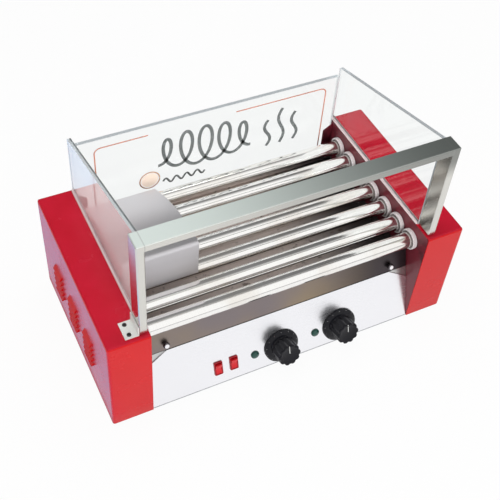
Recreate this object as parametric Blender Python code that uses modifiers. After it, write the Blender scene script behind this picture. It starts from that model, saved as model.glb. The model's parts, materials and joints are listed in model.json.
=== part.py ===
"""A seven-roller sausage warmer for a shop counter, in metres, +Z up.

X runs along the rollers, -Y faces the operator and +Y the customer. The pieces are placed in the
machine's own coordinates, where y is 0 at the front of the side covers and z is 0 at the counter,
and they all hang from one empty that brings the middle of the whole machine to the origin.
"""

import math

import bmesh
import bpy
from mathutils import Matrix, Vector

# Whole machine
overall_width = 0.580
body_depth = 0.308
cover_width = 0.064
foot_height = 0.006
sheet = 0.0012
gap = 0.0003
overrun = 0.002
round_sides = 10

# Rubber feet
foot_radius = 0.012
foot_base_radius = 0.010
foot_recess_radius = 0.005
foot_recess_depth = 0.002
foot_inset = 0.035

# Base pan
pan_rim = 0.012
pan_inset = 0.0015
pan_slot_length = 0.060
pan_slot_width = 0.006
pan_slot_pitch = 0.018
pan_slot_count = 5

# Side covers
cover_edge = 0.0032
fold_segments = 2
cover_screw_height = 0.035
cover_screw_drop = 0.038
louvre_groups = 3
louvre_rows = 5
louvre_group_pitch = 0.067
louvre_row_pitch = 0.012
louvre_length = 0.031
louvre_height = 0.008
louvre_depth = 0.005
louvre_shift = 0.003
louvre_first_z = 0.060
louvre_land = 0.0001

# Side plates
plate_clip = 0.004
plate_flange = 0.010
glass_tab_width = 0.0165
glass_tab_height = 0.051
glass_tab_slope = 0.011

# Rollers, their bushings and heating elements
roller_radius = 0.0125
roller_spacing = 0.0131
roller_front_inset = 0.0384
roller_rear_inset = 0.0410
roller_drop = 0.0340
roller_sides = 16
journal_clearance = 0.0016
roller_bore = 0.0055
bush_clearance = 0.0020
bush_rim = 0.0025
bush_depth = 0.0067
bush_web = 0.0025
bush_body_radius = 0.011
bush_body_length = 0.0015
end_float = 0.0005
idle_journal = 0.010
element_radius = 0.004
element_sides = 6
element_overhang = 0.005
holder_offset = 0.026
holder_height = 0.018
holder_end = 0.008

# Chain drive; like a standard chain's, its small sizes are shares of the chain's pitch
links_per_roller = 3
sprocket_teeth = 7
sprocket_width = 0.005
tooth_rise_share = 0.186
tooth_tip_share = 0.173
tooth_seat_share = 0.386
seat_turns = (90, 0, -90)
link_roller_share = 0.268
link_height_share = 0.790
link_plate = 0.0012
link_side_gap = 0.0005
link_roller_sides = 5
chain_offset = 0.0105
shaft_radius = 0.005
shaft_end = 0.003

# Gear motor
gearbox_size = 0.056
gearbox_depth = 0.022
gearbox_corner = 0.008
motor_radius = 0.025
motor_length = 0.040
motor_cap = 0.003
motor_clearance = 0.002
motor_bracket_sheet = 0.0015
motor_bracket_width = 0.090
motor_bracket_margin = 0.003
motor_bracket_foot = 0.034

# Front: panel, cross rail and drip tray
panel_lean = math.radians(17.8)
panel_top = 0.100
panel_clip_x = 0.034
panel_clip_v = 0.020
rail_height = 0.028
rail_flange = 0.014
rail_drop = 0.001
tray_rise = 0.0015
tray_drop = 0.0590
tray_side_clearance = 0.0025
tray_wall = 0.020
tray_rear_clearance = 0.0230
tray_front_height = 0.0370
tray_hem_radius = 0.0024
tray_travel = 0.200
runner_foot = 0.008
runner_height = 0.008
runner_setback = 0.020
pull_inset = 0.0340
pull_rise = 0.0125
pull_radius = 0.0052
pull_neck_radius = 0.0030
pull_length = 0.0085
pull_neck = 0.0030

# Controls
control_row = 0.0305
knob_places = (-0.0068, 0.0975)
lamp_places = (-0.0525, 0.0542)
switch_places = (-0.1150, -0.0890)
knob_skirt_radius = 0.0290
knob_skirt = 0.0040
knob_shoulder = 0.0030
knob_grip_radius = 0.0195
knob_grip_neck = 0.0210
knob_length = 0.0300
knob_flutes = 10
knob_flute_depth = 0.0020
flute_shares = ((0.0, 0.0), (0.3, 0.0), (0.5, 1.0), (0.8, 1.0))
knob_lift = 0.0008
control_shaft_radius = 0.003
control_hole = 0.0045
regulator_width = 0.044
regulator_height = 0.036
regulator_depth = 0.028
regulator_lug = 0.006
regulator_bush = 0.0085
lamp_radius = 0.0068
lamp_lens_radius = 0.0056
lamp_body_radius = 0.0050
lamp_body = 0.020
lamp_rim = 0.0015
lamp_dome = 0.0042
switch_width = 0.0140
switch_height = 0.0250
switch_bezel = 0.0018
switch_wall = 0.0016
switch_body = 0.018
rocker_length = 0.0180
rocker_rise = 0.0040
rocker_waist = 0.0016
rocker_root = 0.0060
rocker_pivot = 0.0010
rocker_tilt = math.radians(10.0)

# Glass and portal
glass = 0.006
rear_glass_rise = 0.092
rear_glass_side_gap = 0.002
side_glass_inset = 0.0015
side_glass_rear_rise = 0.104
side_glass_front_drop = 0.002
side_glass_offset = 0.0015
portal_depth = 0.028
portal_tube = 0.012
portal_front = 0.007
portal_overlap = 0.0145
portal_height = 0.178
portal_edge = 0.0012

# Angle bracket at the left post
bracket_sheet = 0.0015
bracket_base = 0.020
bracket_width = 0.030
bracket_leaf = 0.018
bracket_screw_x_share = 0.62
bracket_screw_y_shares = (0.2, 0.8)
screw_shank_radius = 0.0015
screw_sides = 6

# Rear panel, gland and terminals
rear_panel_drop = 0.031
rear_lip = 0.006
vent_slots = 10
vent_slot_width = 0.004
vent_slot_length = 0.036
vent_slot_pitch = 0.012
vent_height = 0.045
gland_inset = 0.056
gland_height = 0.042
gland_radius = 0.011
gland_thread_radius = 0.008
gland_bore = 0.004
gland_reach = 0.016
gland_flange = 0.004
gland_inside = 0.012
terminal_length = 0.066
terminal_depth = 0.022
terminal_height = 0.014
terminal_side_inset = 0.106
terminal_rear_inset = 0.058
terminal_poles = 5
terminal_screw_radius = 0.0035
terminal_screw_rise = 0.003

# Sheet cover over the left ends of the rear rollers
rest_reach = 0.1115
rest_rise = 0.078
rest_rear_fall = 0.050
rest_rear_setback = 0.001
rest_skirt = 0.066
rest_fold = 0.006
rest_flange_drop = 0.0015
rest_flange_inset = 0.012
rest_curve_shares = (0.35, 0.62, 0.82, 1.0)

# Worked out from the sizes above
inner_x = overall_width / 2 - cover_width
floor_top = foot_height + sheet
seat_z = floor_top + gap
plate_outer = inner_x + sheet
plate_front = sheet + gap
plate_rear = body_depth - sheet - gap - sheet - gap
lean_cos = math.cos(panel_lean)
lean_sin = math.sin(panel_lean)

# As many rollers as the depth has room for, a whole number of chain links apart
roller_pitch = 2 * roller_radius + roller_spacing
roller_room = body_depth - roller_front_inset - roller_rear_inset
roller_count = math.floor((roller_room + gap) / roller_pitch) + 1
roller_row = roller_pitch * (roller_count - 1)
roller_middle_y = roller_front_inset + roller_row / 2
chain_pitch = roller_pitch / links_per_roller
pitch_radius = chain_pitch / (2 * math.sin(math.pi / sprocket_teeth))
sprocket_tip_radius = pitch_radius + tooth_rise_share * chain_pitch
link_plate_height = link_height_share * chain_pitch
journal_radius = pitch_radius - link_plate_height / 2 - journal_clearance
bush_radius = roller_radius + bush_clearance + bush_rim
chain_x = plate_outer + chain_offset

# Heights: the panel, the tray on it, the rollers over the tray, the covers over the rollers
tray_floor = panel_top + tray_rise
tray_front_top = panel_top + tray_front_height
roller_height = panel_top + tray_drop
cover_top = roller_height + roller_drop
plate_top = cover_top - sheet - gap
cover_screw_pitch = cover_top - cover_screw_drop - cover_screw_height
rear_panel_top = roller_height - rear_panel_drop
rest_top = roller_height + rest_rise
rear_glass_top = cover_top + rear_glass_rise
side_glass_rear_top = cover_top + side_glass_rear_rise
portal_top = cover_top + portal_height
side_glass_front_top = portal_top - side_glass_front_drop

# Places along and across the machine
tray_back = body_depth - tray_rear_clearance
louvre_first_y = body_depth / 2 + louvre_shift - louvre_group_pitch * (louvre_groups - 1) / 2
glass_x = inner_x + side_glass_offset
portal_reach = inner_x + portal_overlap
post_rear = portal_front + portal_depth
rear_ledge = side_glass_inset + glass + gap + sheet
gland_x = -inner_x + gland_inset
holder_x = plate_outer + holder_offset
element_end = holder_x + sheet + element_overhang
pivot_w = -rocker_pivot


def clear_radius(radius, sides):
    """Corner radius of a hole with flat sides that clears a round piece of this radius."""
    return (radius + gap) / math.cos(math.pi / sides)


def panel_point(v, w):
    """(y, z) of a point v up the leaning panel and w out of its front face."""
    return (
        plate_front + v * lean_sin - w * lean_cos,
        seat_z + v * lean_cos + w * lean_sin,
    )


def up_panel(z):
    """How far up the leaning panel a height lies."""
    return (z - seat_z) / lean_cos


# The knobs reach furthest forward and the gland furthest back
knob_tip_radius = knob_grip_radius - knob_flute_depth
knob_tip = panel_point(control_row, knob_lift + knob_length)[0] - knob_tip_radius * lean_sin
tray_front = panel_point(up_panel(tray_floor), 0)[0]
middle_y = (knob_tip + body_depth + gland_reach) / 2

for obj in list(bpy.data.objects):
    bpy.data.objects.remove(obj, do_unlink=True)

parts = bpy.data.collections.new("roller_warmer")
cutters = bpy.data.collections.new("cutters")
bpy.context.scene.collection.children.link(parts)
bpy.context.scene.collection.children.link(cutters)

origin = bpy.data.objects.new("machine_origin", None)
origin.location = (0, -middle_y, 0)
parts.objects.link(origin)


def finish(name, colour, roughness, metallic=0.0, alpha=1.0):
    """A Principled material."""
    material = bpy.data.materials.new(name)
    material.use_nodes = True
    shader = material.node_tree.nodes["Principled BSDF"]
    shader.inputs["Base Color"].default_value = (*colour, 1.0)
    shader.inputs["Roughness"].default_value = roughness
    shader.inputs["Metallic"].default_value = metallic
    shader.inputs["Alpha"].default_value = alpha
    material.diffuse_color = (*colour, alpha)
    return material


red_paint = finish("red_paint", (0.62, 0.02, 0.03), 0.2)
dark_red_paint = finish("dark_red_paint", (0.30, 0.03, 0.04), 0.3)
brushed_steel = finish("brushed_steel", (0.60, 0.60, 0.58), 0.3, 1.0)
polished_steel = finish("polished_steel", (0.80, 0.80, 0.80), 0.08, 1.0)
tray_steel = finish("tray_steel", (0.45, 0.41, 0.37), 0.3, 1.0)
pale_steel = finish("pale_steel", (0.80, 0.80, 0.82), 0.4, 0.6)
grey_sheet = finish("grey_sheet", (0.62, 0.60, 0.60), 0.45, 0.3)
zinc = finish("zinc", (0.55, 0.56, 0.57), 0.45, 1.0)
white_nylon = finish("white_nylon", (0.85, 0.83, 0.80), 0.4)
black_plastic = finish("black_plastic", (0.015, 0.015, 0.017), 0.3)
red_plastic = finish("red_plastic", (0.65, 0.03, 0.03), 0.25)
green_lens = finish("green_lens", (0.03, 0.18, 0.10), 0.15)
clear_glass = finish("clear_glass", (0.85, 0.92, 0.90), 0.02, 0.0, 0.25)
black_rubber = finish("black_rubber", (0.02, 0.02, 0.02), 0.8)
cast_grey = finish("cast_grey", (0.25, 0.26, 0.27), 0.5, 0.4)

# Frames that turn a flat drawing (x, y) into place, its thickness along local z
ACROSS = Matrix(((0, 0, 1), (1, 0, 0), (0, 1, 0))).to_4x4()
UPRIGHT = Matrix(((1, 0, 0), (0, 0, -1), (0, 1, 0))).to_4x4()
LEVEL = Matrix.Identity(4)
LEANING = Matrix(((1, 0, 0), (0, lean_sin, -lean_cos), (0, lean_cos, lean_sin))).to_4x4()


def at(x, y, z, turn=LEVEL):
    """A place in the machine's coordinates, with a turn."""
    return Matrix.Translation((x, y, z)) @ turn


def on_panel(x, v, w):
    """A place on the leaning panel, local z pointing out of it."""
    y, z = panel_point(v, w)
    return at(x, y, z, LEANING)


def add(name, data, material, place=LEVEL, collection=parts):
    """Puts a mesh or curve in the scene, hung from the machine's origin."""
    obj = bpy.data.objects.new(name, data)
    collection.objects.link(obj)
    obj.parent = origin
    obj.matrix_basis = place
    if material:
        data.materials.append(material)
    if collection is cutters:
        obj.hide_render = True
        obj.display_type = "WIRE"
    return obj


def cutter(name, data, place=LEVEL):
    return add(name, data, None, place, cutters)


def block_mesh(low, high):
    """A box between two corners."""
    low, high = Vector(low), Vector(high)
    shape = bmesh.new()
    bmesh.ops.create_cube(shape, size=1)
    bmesh.ops.scale(shape, vec=high - low, verts=shape.verts)
    bmesh.ops.translate(shape, vec=(low + high) / 2, verts=shape.verts)
    mesh = bpy.data.meshes.new("block")
    shape.to_mesh(mesh)
    shape.free()
    return mesh


def joined(meshes):
    """One mesh that holds copies of several, each (mesh, place)."""
    shape = bmesh.new()
    for mesh, place in meshes:
        copy = mesh.copy()
        copy.transform(place)
        shape.from_mesh(copy)
        bpy.data.meshes.remove(copy)
    mesh = bpy.data.meshes.new("joined")
    shape.to_mesh(mesh)
    shape.free()
    return mesh


def open_box(name, low, high, open_sides, wall, material):
    """A folded sheet box without the sides whose outward directions are given."""
    mesh = block_mesh(low, high)
    shape = bmesh.new()
    shape.from_mesh(mesh)
    shape.normal_update()
    gone = [f for f in shape.faces if any(f.normal.dot(Vector(side)) > 0.5 for side in open_sides)]
    bmesh.ops.delete(shape, geom=gone, context="FACES")
    shape.to_mesh(mesh)
    shape.free()
    obj = add(name, mesh, material)
    thicken(obj, wall)
    return obj


def fold(obj, radius):
    """Rounds the folds of an open surface, before it gets its thickness."""
    bend = obj.modifiers.new("folds", "BEVEL")
    bend.width = radius
    bend.segments = fold_segments
    bend.limit_method = "ANGLE"
    obj.modifiers.move(len(obj.modifiers) - 1, 0)


def thicken(obj, wall):
    """Gives an open surface its sheet thickness, on the inside."""
    shell = obj.modifiers.new("sheet", "SOLIDIFY")
    shell.thickness = wall
    shell.offset = -1
    shell.use_even_offset = True


def soften(obj, width, segments, angle=math.radians(50)):
    """Rounds the sharp edges."""
    edge = obj.modifiers.new("edges", "BEVEL")
    edge.width = width
    edge.segments = segments
    edge.limit_method = "ANGLE"
    edge.angle_limit = angle


def prism_mesh(outline, depth):
    """An outline of (x, y) points, pulled up by a depth along z."""
    shape = bmesh.new()
    face = shape.faces.new([shape.verts.new((x, y, 0)) for x, y in outline])
    face.normal_update()
    if face.normal.z > 0:
        face.normal_flip()
    top = bmesh.ops.extrude_face_region(shape, geom=[face])["geom"]
    bmesh.ops.translate(shape, vec=(0, 0, depth), verts=[v for v in top if isinstance(v, bmesh.types.BMVert)])
    bmesh.ops.recalc_face_normals(shape, faces=shape.faces)
    mesh = bpy.data.meshes.new("prism")
    shape.to_mesh(mesh)
    shape.free()
    return mesh


def rod_mesh(radius, length, sides):
    """A cylinder along z from 0 to its length."""
    shape = bmesh.new()
    bmesh.ops.create_cone(
        shape, cap_ends=True, segments=sides, radius1=radius, radius2=radius, depth=length
    )
    bmesh.ops.translate(shape, vec=(0, 0, length / 2), verts=shape.verts)
    mesh = bpy.data.meshes.new("rod")
    shape.to_mesh(mesh)
    shape.free()
    return mesh


def circle(radius, sides, x=0.0, y=0.0, start=0.0):
    """Points of a round outline."""
    return [
        (
            x + radius * math.cos(start + math.tau * k / sides),
            y + radius * math.sin(start + math.tau * k / sides),
        )
        for k in range(sides)
    ]


def rectangle(x0, y0, x1, y1):
    return [(x0, y0), (x1, y0), (x1, y1), (x0, y1)]


def flat(name, loops, thickness, material, place):
    """A plate from an outline and its holes, its front face at local z = 0."""
    curve = bpy.data.curves.new(name, "CURVE")
    curve.dimensions = "2D"
    curve.fill_mode = "BOTH"
    curve.extrude = thickness / 2
    for loop in loops:
        spline = curve.splines.new("POLY")
        spline.points.add(len(loop) - 1)
        for point, (x, y) in zip(spline.points, loop):
            point.co = (x, y, 0, 1)
        spline.use_cyclic_u = True
    return add(name, curve, material, place @ Matrix.Translation((0, 0, -thickness / 2)))


def as_mesh(obj):
    """Turns a curve object into a welded mesh object, which Booleans can cut and join."""
    graph = bpy.context.evaluated_depsgraph_get()
    mesh = bpy.data.meshes.new_from_object(obj.evaluated_get(graph))
    shape = bmesh.new()
    shape.from_mesh(mesh)
    bmesh.ops.remove_doubles(shape, verts=shape.verts, dist=0.000001)
    bmesh.ops.recalc_face_normals(shape, faces=shape.faces)
    shape.to_mesh(mesh)
    shape.free()
    name = obj.name
    place = obj.matrix_basis.copy()
    bpy.data.objects.remove(obj, do_unlink=True)
    solid = bpy.data.objects.new(name, mesh)
    parts.objects.link(solid)
    solid.parent = origin
    solid.matrix_basis = place
    return solid


def baked_mesh(obj):
    """The mesh of an object, moved and modified as the object was; the object is removed."""
    graph = bpy.context.evaluated_depsgraph_get()
    mesh = bpy.data.meshes.new_from_object(obj.evaluated_get(graph))
    mesh.transform(obj.matrix_basis)
    used = [step.object for step in obj.modifiers if step.type == "BOOLEAN"]
    for spent in [obj] + used:
        bpy.data.objects.remove(spent, do_unlink=True)
    return mesh


def boolean(obj, other, operation):
    step = obj.modifiers.new(other.name, "BOOLEAN")
    step.operation = operation
    step.solver = "EXACT"
    step.object = other


def cut(obj, data, place=LEVEL):
    """Takes a shape away."""
    boolean(obj, cutter(obj.name + "_cut", data, place), "DIFFERENCE")


def weld(obj, data, place=LEVEL):
    """Joins a shape on."""
    boolean(obj, cutter(obj.name + "_join", data, place), "UNION")


def turned_mesh(profile, sides, ring):
    """A turned shape about local z. The profile runs (radius, z) down its outer side."""
    mesh = bpy.data.meshes.new("profile")
    count = len(profile)
    edges = [(k, (k + 1) % count) for k in range(count if ring else count - 1)]
    mesh.from_pydata([(radius, 0, z) for radius, z in profile], edges, [])
    obj = bpy.data.objects.new("turning", mesh)
    parts.objects.link(obj)
    lathe = obj.modifiers.new("turn", "SCREW")
    lathe.axis = "Z"
    lathe.angle = math.tau
    lathe.screw_offset = 0
    lathe.steps = sides
    lathe.render_steps = sides
    lathe.use_smooth_shade = True
    lathe.use_merge_vertices = True
    lathe.merge_threshold = 0.00001
    solid = baked_mesh(obj)
    solid.set_sharp_from_angle(angle=math.radians(35))
    return solid


def turned(name, profile, sides, material, place, ring=False):
    return add(name, turned_mesh(profile, sides, ring), material, place)


def sides():
    """The names of the two sides with the sign of x there."""
    return (("left", -1), ("right", 1))


def span(sign, x0, x1):
    """Two x values in rising order on one side of the machine."""
    return (x0, x1) if sign > 0 else (-x1, -x0)


def side_block(sign, x0, x1, y0, y1, z0, z1):
    low, high = span(sign, x0, x1)
    return block_mesh((low, y0, z0), (high, y1, z1))


def roller_y(index):
    """Rollers are counted from the customer's side."""
    return roller_front_inset + roller_row - index * roller_pitch


def make_feet():
    """Four rubber feet, hollow at the bottom round their fixing."""
    profile = [
        (0, foot_height - gap),
        (foot_radius, foot_height - gap),
        (foot_base_radius, 0),
        (foot_recess_radius, 0),
        (foot_recess_radius, foot_recess_depth),
        (0, foot_recess_depth),
    ]
    for end, y in (("front", foot_inset), ("rear", body_depth - foot_inset)):
        for side, sign in sides():
            place = at(sign * (overall_width / 2 - foot_inset), y, 0)
            turned(f"{end}_{side}_foot", profile, round_sides, black_rubber, place)


def make_base_pan():
    reach = overall_width / 2 - sheet - gap
    pan = open_box(
        "base_pan",
        (-reach, pan_inset, foot_height),
        (reach, body_depth - sheet - gap, foot_height + pan_rim),
        ((0, 0, 1), (0, -1, 0)),
        sheet,
        zinc,
    )
    fold(pan, cover_edge - sheet - gap)
    slots = []
    for sign in (-1, 1):
        clear_x = overall_width / 2 - cover_edge - gap
        corner = side_block(
            sign, clear_x, overall_width / 2, 0, cover_edge + gap, 0, foot_height + pan_rim + overrun
        )
        slots.append((corner, LEVEL))
        for k in range(pan_slot_count):
            x = sign * inner_x / 2 + (k - (pan_slot_count - 1) / 2) * pan_slot_pitch
            slot = block_mesh(
                (x - pan_slot_width / 2, roller_middle_y - pan_slot_length / 2, 0),
                (x + pan_slot_width / 2, roller_middle_y + pan_slot_length / 2, floor_top + overrun),
            )
            slots.append((slot, LEVEL))
    cut(pan, joined(slots))


def louvre_meshes(sign):
    """The hoods of one cover and the space under them, as two meshes."""
    rise = louvre_height / louvre_depth
    drop = sheet * math.hypot(louvre_depth, louvre_height) / louvre_depth
    inside = louvre_height - drop
    hood = [
        (-sheet / 2, 0),
        (louvre_depth, 0),
        (0, louvre_height),
        (-sheet / 2, louvre_height),
    ]
    hollow = [
        (-sheet - overrun, 0),
        (louvre_land, 0),
        (louvre_land, -overrun),
        ((inside + overrun) / rise, -overrun),
        (0, inside),
        (-sheet - overrun, inside),
    ]
    hoods, hollows = [], []
    outward = Matrix(((sign, 0, 0), (0, 0, -sign), (0, 1, 0))).to_4x4()
    for group in range(louvre_groups):
        for row in range(louvre_rows):
            y = louvre_first_y + group * louvre_group_pitch
            z = louvre_first_z + row * louvre_row_pitch
            x = sign * overall_width / 2
            start = y + sign * louvre_length / 2
            hoods.append((prism_mesh(hood, louvre_length), at(x, start, z, outward)))
            start -= sign * sheet
            hollows.append((prism_mesh(hollow, louvre_length - 2 * sheet), at(x, start, z, outward)))
    return joined(hoods), joined(hollows)


def make_cover(side, sign):
    """A folded and painted side cover, open towards the rollers and below."""
    low, high = span(sign, inner_x, overall_width / 2)
    cover = open_box(
        side + "_cover",
        (low, 0, foot_height),
        (high, body_depth, cover_top),
        ((-sign, 0, 0), (0, 0, -1)),
        sheet,
        red_paint,
    )
    fold(cover, cover_edge)
    hoods, hollows = louvre_meshes(sign)
    weld(cover, hoods)
    cut(cover, hollows)
    holes = []
    hole = rod_mesh(clear_radius(screw_shank_radius, screw_sides), sheet + 2 * overrun, screw_sides)
    for k in range(2):
        z = cover_screw_height + k * cover_screw_pitch
        x = sign * (plate_outer + plate_flange / 2)
        holes.append((hole, at(x, body_depth + overrun, z, UPRIGHT)))
    cut(cover, joined(holes))


def weld_runner(plate, sign):
    """Adds the angle that a side of the drip tray slides on, spot-welded to the side plate."""
    top = tray_floor - gap
    front = tray_front + rail_flange + runner_setback
    root = inner_x + sheet / 2
    profile = [
        (root, top),
        (inner_x - runner_foot, top),
        (inner_x - runner_foot, top - sheet),
        (inner_x - sheet, top - sheet),
        (inner_x - sheet, top - runner_height),
        (root, top - runner_height),
    ]
    profile = [(sign * x, z) for x, z in profile]
    weld(plate, prism_mesh(profile, tray_back - front), at(0, tray_back, 0, UPRIGHT))


def make_side_plate(side, sign):
    """The inner wall that carries the rollers, with its flanges and the tab in front of the rear glass."""
    outline = [
        (plate_front, seat_z),
        (plate_rear, seat_z),
        (plate_rear, plate_top - plate_clip),
        (plate_rear - plate_clip, plate_top),
        (plate_front + plate_clip, plate_top),
        (plate_front, plate_top - plate_clip),
    ]
    loops = [outline]
    hole = clear_radius(bush_body_radius, round_sides)
    for k in range(roller_count):
        loops.append(circle(hole, round_sides, roller_y(k), roller_height))
    if sign > 0:
        y, z = motor_centre()
        loops.append(circle(clear_radius(shaft_radius, round_sides) + gap, round_sides, y, z))
    low, high = span(sign, inner_x, plate_outer)
    plate = as_mesh(flat(side + "_side_plate", loops, sheet, dark_red_paint, at(high, 0, 0, ACROSS)))
    top = side_block(
        sign,
        plate_outer - sheet / 2,
        plate_outer + plate_flange,
        plate_front + 2 * plate_clip,
        plate_rear - 2 * plate_clip,
        plate_top - sheet,
        plate_top,
    )
    back = side_block(
        sign,
        plate_outer - sheet / 2,
        plate_outer + plate_flange,
        plate_rear - sheet,
        plate_rear,
        cover_screw_height - plate_flange,
        cover_screw_height + cover_screw_pitch + plate_flange,
    )
    weld(plate, joined([(top, LEVEL), (back, LEVEL)]))
    weld_runner(plate, sign)
    tab_low = rear_panel_top + rear_lip + gap
    tab_top = tab_low + glass_tab_height
    tab = [
        (sign * (inner_x + sheet / 2), tab_low),
        (sign * (inner_x - glass_tab_width), tab_low),
        (sign * (inner_x - glass_tab_width), tab_top - glass_tab_slope),
        (sign * inner_x, tab_top),
        (sign * (inner_x + sheet / 2), tab_top),
    ]
    tab_y = body_depth - side_glass_inset - glass - gap
    weld(plate, prism_mesh(tab, sheet), at(0, tab_y, 0, UPRIGHT))


def make_bushings(side, sign):
    """White flanged cups that the roller ends run in."""
    bore = clear_radius(journal_radius, round_sides)
    profile = [
        (bush_radius - bush_rim, gap + bush_depth),
        (bush_radius, gap + bush_depth),
        (bush_radius, gap),
        (bush_body_radius, gap),
        (bush_body_radius, -sheet - bush_body_length),
        (bore, -sheet - bush_body_length),
        (bore, gap + bush_web),
        (bush_radius - bush_rim, gap + bush_web),
    ]
    inward = Matrix.Rotation(-sign * math.pi / 2, 4, "Y")
    for k in range(roller_count):
        place = at(sign * inner_x, roller_y(k), roller_height, inward)
        turned(f"{side}_bushing_{k + 1}", profile, round_sides, white_nylon, place, ring=True)


def make_roller(index, pins):
    """A steel tube with turned-down ends, its sprocket welded on, its origin on its own axis."""
    half = inner_x - gap - bush_web - end_float
    drive_end = chain_x + sprocket_width / 2 + shaft_end
    idle_end = -(inner_x + idle_journal)
    profile = [
        (journal_radius, drive_end),
        (journal_radius, half),
        (roller_radius, half),
        (roller_radius, -half),
        (journal_radius, -half),
        (journal_radius, idle_end),
        (roller_bore, idle_end),
        (roller_bore, drive_end),
    ]
    centre = (roller_y(index), roller_height)
    place = at(0, *centre, Matrix.Rotation(math.pi / 2, 4, "Y"))
    roller = turned(f"roller_{index + 1}", profile, roller_sides, polished_steel, place, ring=True)
    wheel = sprocket_mesh(gap_angle(centre, pins), (journal_radius + roller_bore) / 2)
    weld(roller, wheel, at(chain_x - sprocket_width / 2, *centre, ACROSS))


def sprocket_mesh(phase, bore=None):
    """A toothed wheel with one tooth gap centred at the phase angle, and a bore if it needs one."""
    points = []
    step = math.tau / sprocket_teeth
    tip_half = tooth_tip_share * chain_pitch / 2 / sprocket_tip_radius
    seat_radius = tooth_seat_share * chain_pitch
    for tooth in range(sprocket_teeth):
        angle = phase + tooth * step
        centre = (pitch_radius * math.cos(angle), pitch_radius * math.sin(angle))
        for turn in seat_turns:
            seat = angle + math.pi + math.radians(turn)
            points.append(
                (centre[0] + seat_radius * math.cos(seat), centre[1] + seat_radius * math.sin(seat))
            )
        for edge in (-tip_half, tip_half):
            tip = angle + step / 2 + edge
            points.append((sprocket_tip_radius * math.cos(tip), sprocket_tip_radius * math.sin(tip)))
    if not bore:
        return prism_mesh(points, sprocket_width)
    wheel = as_mesh(flat("wheel", [points, circle(bore, round_sides)], sprocket_width, None, LEVEL))
    mesh = baked_mesh(wheel)
    mesh.transform(Matrix.Translation((0, 0, sprocket_width)))
    return mesh


def chain_route():
    """The number of links, and the (y, z) of the drive shaft that closes the chain.

    The gearbox stands low over the pan. The chain gets the smallest even number of links that
    reaches down to it, and the motor moves forward until the two long runs have no slack.
    """
    height = seat_z + motor_bracket_sheet + motor_clearance + gearbox_size / 2
    drop = roller_height - height
    runs = 2 * math.hypot(roller_row / 2, drop)
    links = 2 * math.ceil((sprocket_teeth + (roller_row + runs) / chain_pitch) / 2)
    half_runs = ((links - sprocket_teeth) * chain_pitch - roller_row) / 2
    deepest = math.sqrt(half_runs**2 - (roller_row / 2) ** 2)
    forward = half_runs * math.sqrt(1 - (drop / deepest) ** 2)
    return links, roller_middle_y - forward, height


def motor_centre():
    return chain_route()[1:]


def chain_pins():
    """Pin centres (y, z) all round the chain: along the tops of the sprockets, then round the motor."""
    links = chain_route()[0]
    stops = [
        Vector((roller_y(0), roller_height)),
        Vector((roller_y(roller_count - 1), roller_height)),
        Vector(motor_centre()),
    ]
    runs = [stops[(k + 1) % 3] - stops[k] for k in range(3)]
    facing = [math.atan2(-run.x, run.y) for run in runs]
    pins = []
    for link in range(links):
        travelled = link * chain_pitch
        for k, run in enumerate(runs):
            if travelled < run.length:
                out = Vector((math.cos(facing[k]), math.sin(facing[k]))) * pitch_radius
                pins.append(stops[k] + out + run.normalized() * travelled)
                break
            travelled -= run.length
            wrap = (facing[(k + 1) % 3] - facing[k]) % math.tau
            arc = wrap / math.tau * sprocket_teeth * chain_pitch
            if travelled < arc:
                angle = facing[k] + wrap * travelled / arc
                out = Vector((math.cos(angle), math.sin(angle))) * pitch_radius
                pins.append(stops[(k + 1) % 3] + out)
                break
            travelled -= arc
    return pins


def gap_angle(centre, pins):
    """The angle of the chain pin that lies nearest a sprocket's centre."""
    nearest = min(pins, key=lambda pin: (pin - Vector(centre)).length)
    away = nearest - Vector(centre)
    return math.atan2(away.y, away.x)


def link_outline():
    """A chain plate seen from the side, its pins a pitch apart."""
    half, reach = link_plate_height / 2, chain_pitch / 2
    return [
        (-reach - half, 0),
        (-reach, -half),
        (reach, -half),
        (reach + half, 0),
        (reach, half),
        (-reach, half),
    ]


def link_mesh(inner):
    """Two chain plates; those of an inner link also have the chain rollers between them."""
    layer = sprocket_width / 2 + link_side_gap + (0 if inner else link_plate)
    plate = prism_mesh(link_outline(), link_plate)
    plates = joined(
        [
            (plate, Matrix.Translation((0, 0, layer))),
            (plate, Matrix.Translation((0, 0, -layer - link_plate))),
        ]
    )
    if not inner:
        return plates
    link = add("link", plates, None)
    length = 2 * layer + link_plate
    roller = rod_mesh(link_roller_share * chain_pitch, length, link_roller_sides)
    places = [Matrix.Translation((x, 0, -length / 2)) for x in (-chain_pitch / 2, chain_pitch / 2)]
    weld(link, joined([(roller, place) for place in places]))
    return baked_mesh(link)


def make_chain(pins):
    """Inner and outer links by turns, pinned into one endless chain."""
    layers = [[], []]
    meshes = [link_mesh(True), link_mesh(False)]
    for k, pin in enumerate(pins):
        onward = pins[(k + 1) % len(pins)] - pin
        middle = pin + onward / 2
        turn = ACROSS @ Matrix.Rotation(math.atan2(onward.y, onward.x), 4, "Z")
        layers[k % 2].append((meshes[k % 2], at(chain_x, middle.x, middle.y, turn)))
    chain = add("drive_chain", joined(layers[0]), zinc)
    weld(chain, joined(layers[1]))


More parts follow.
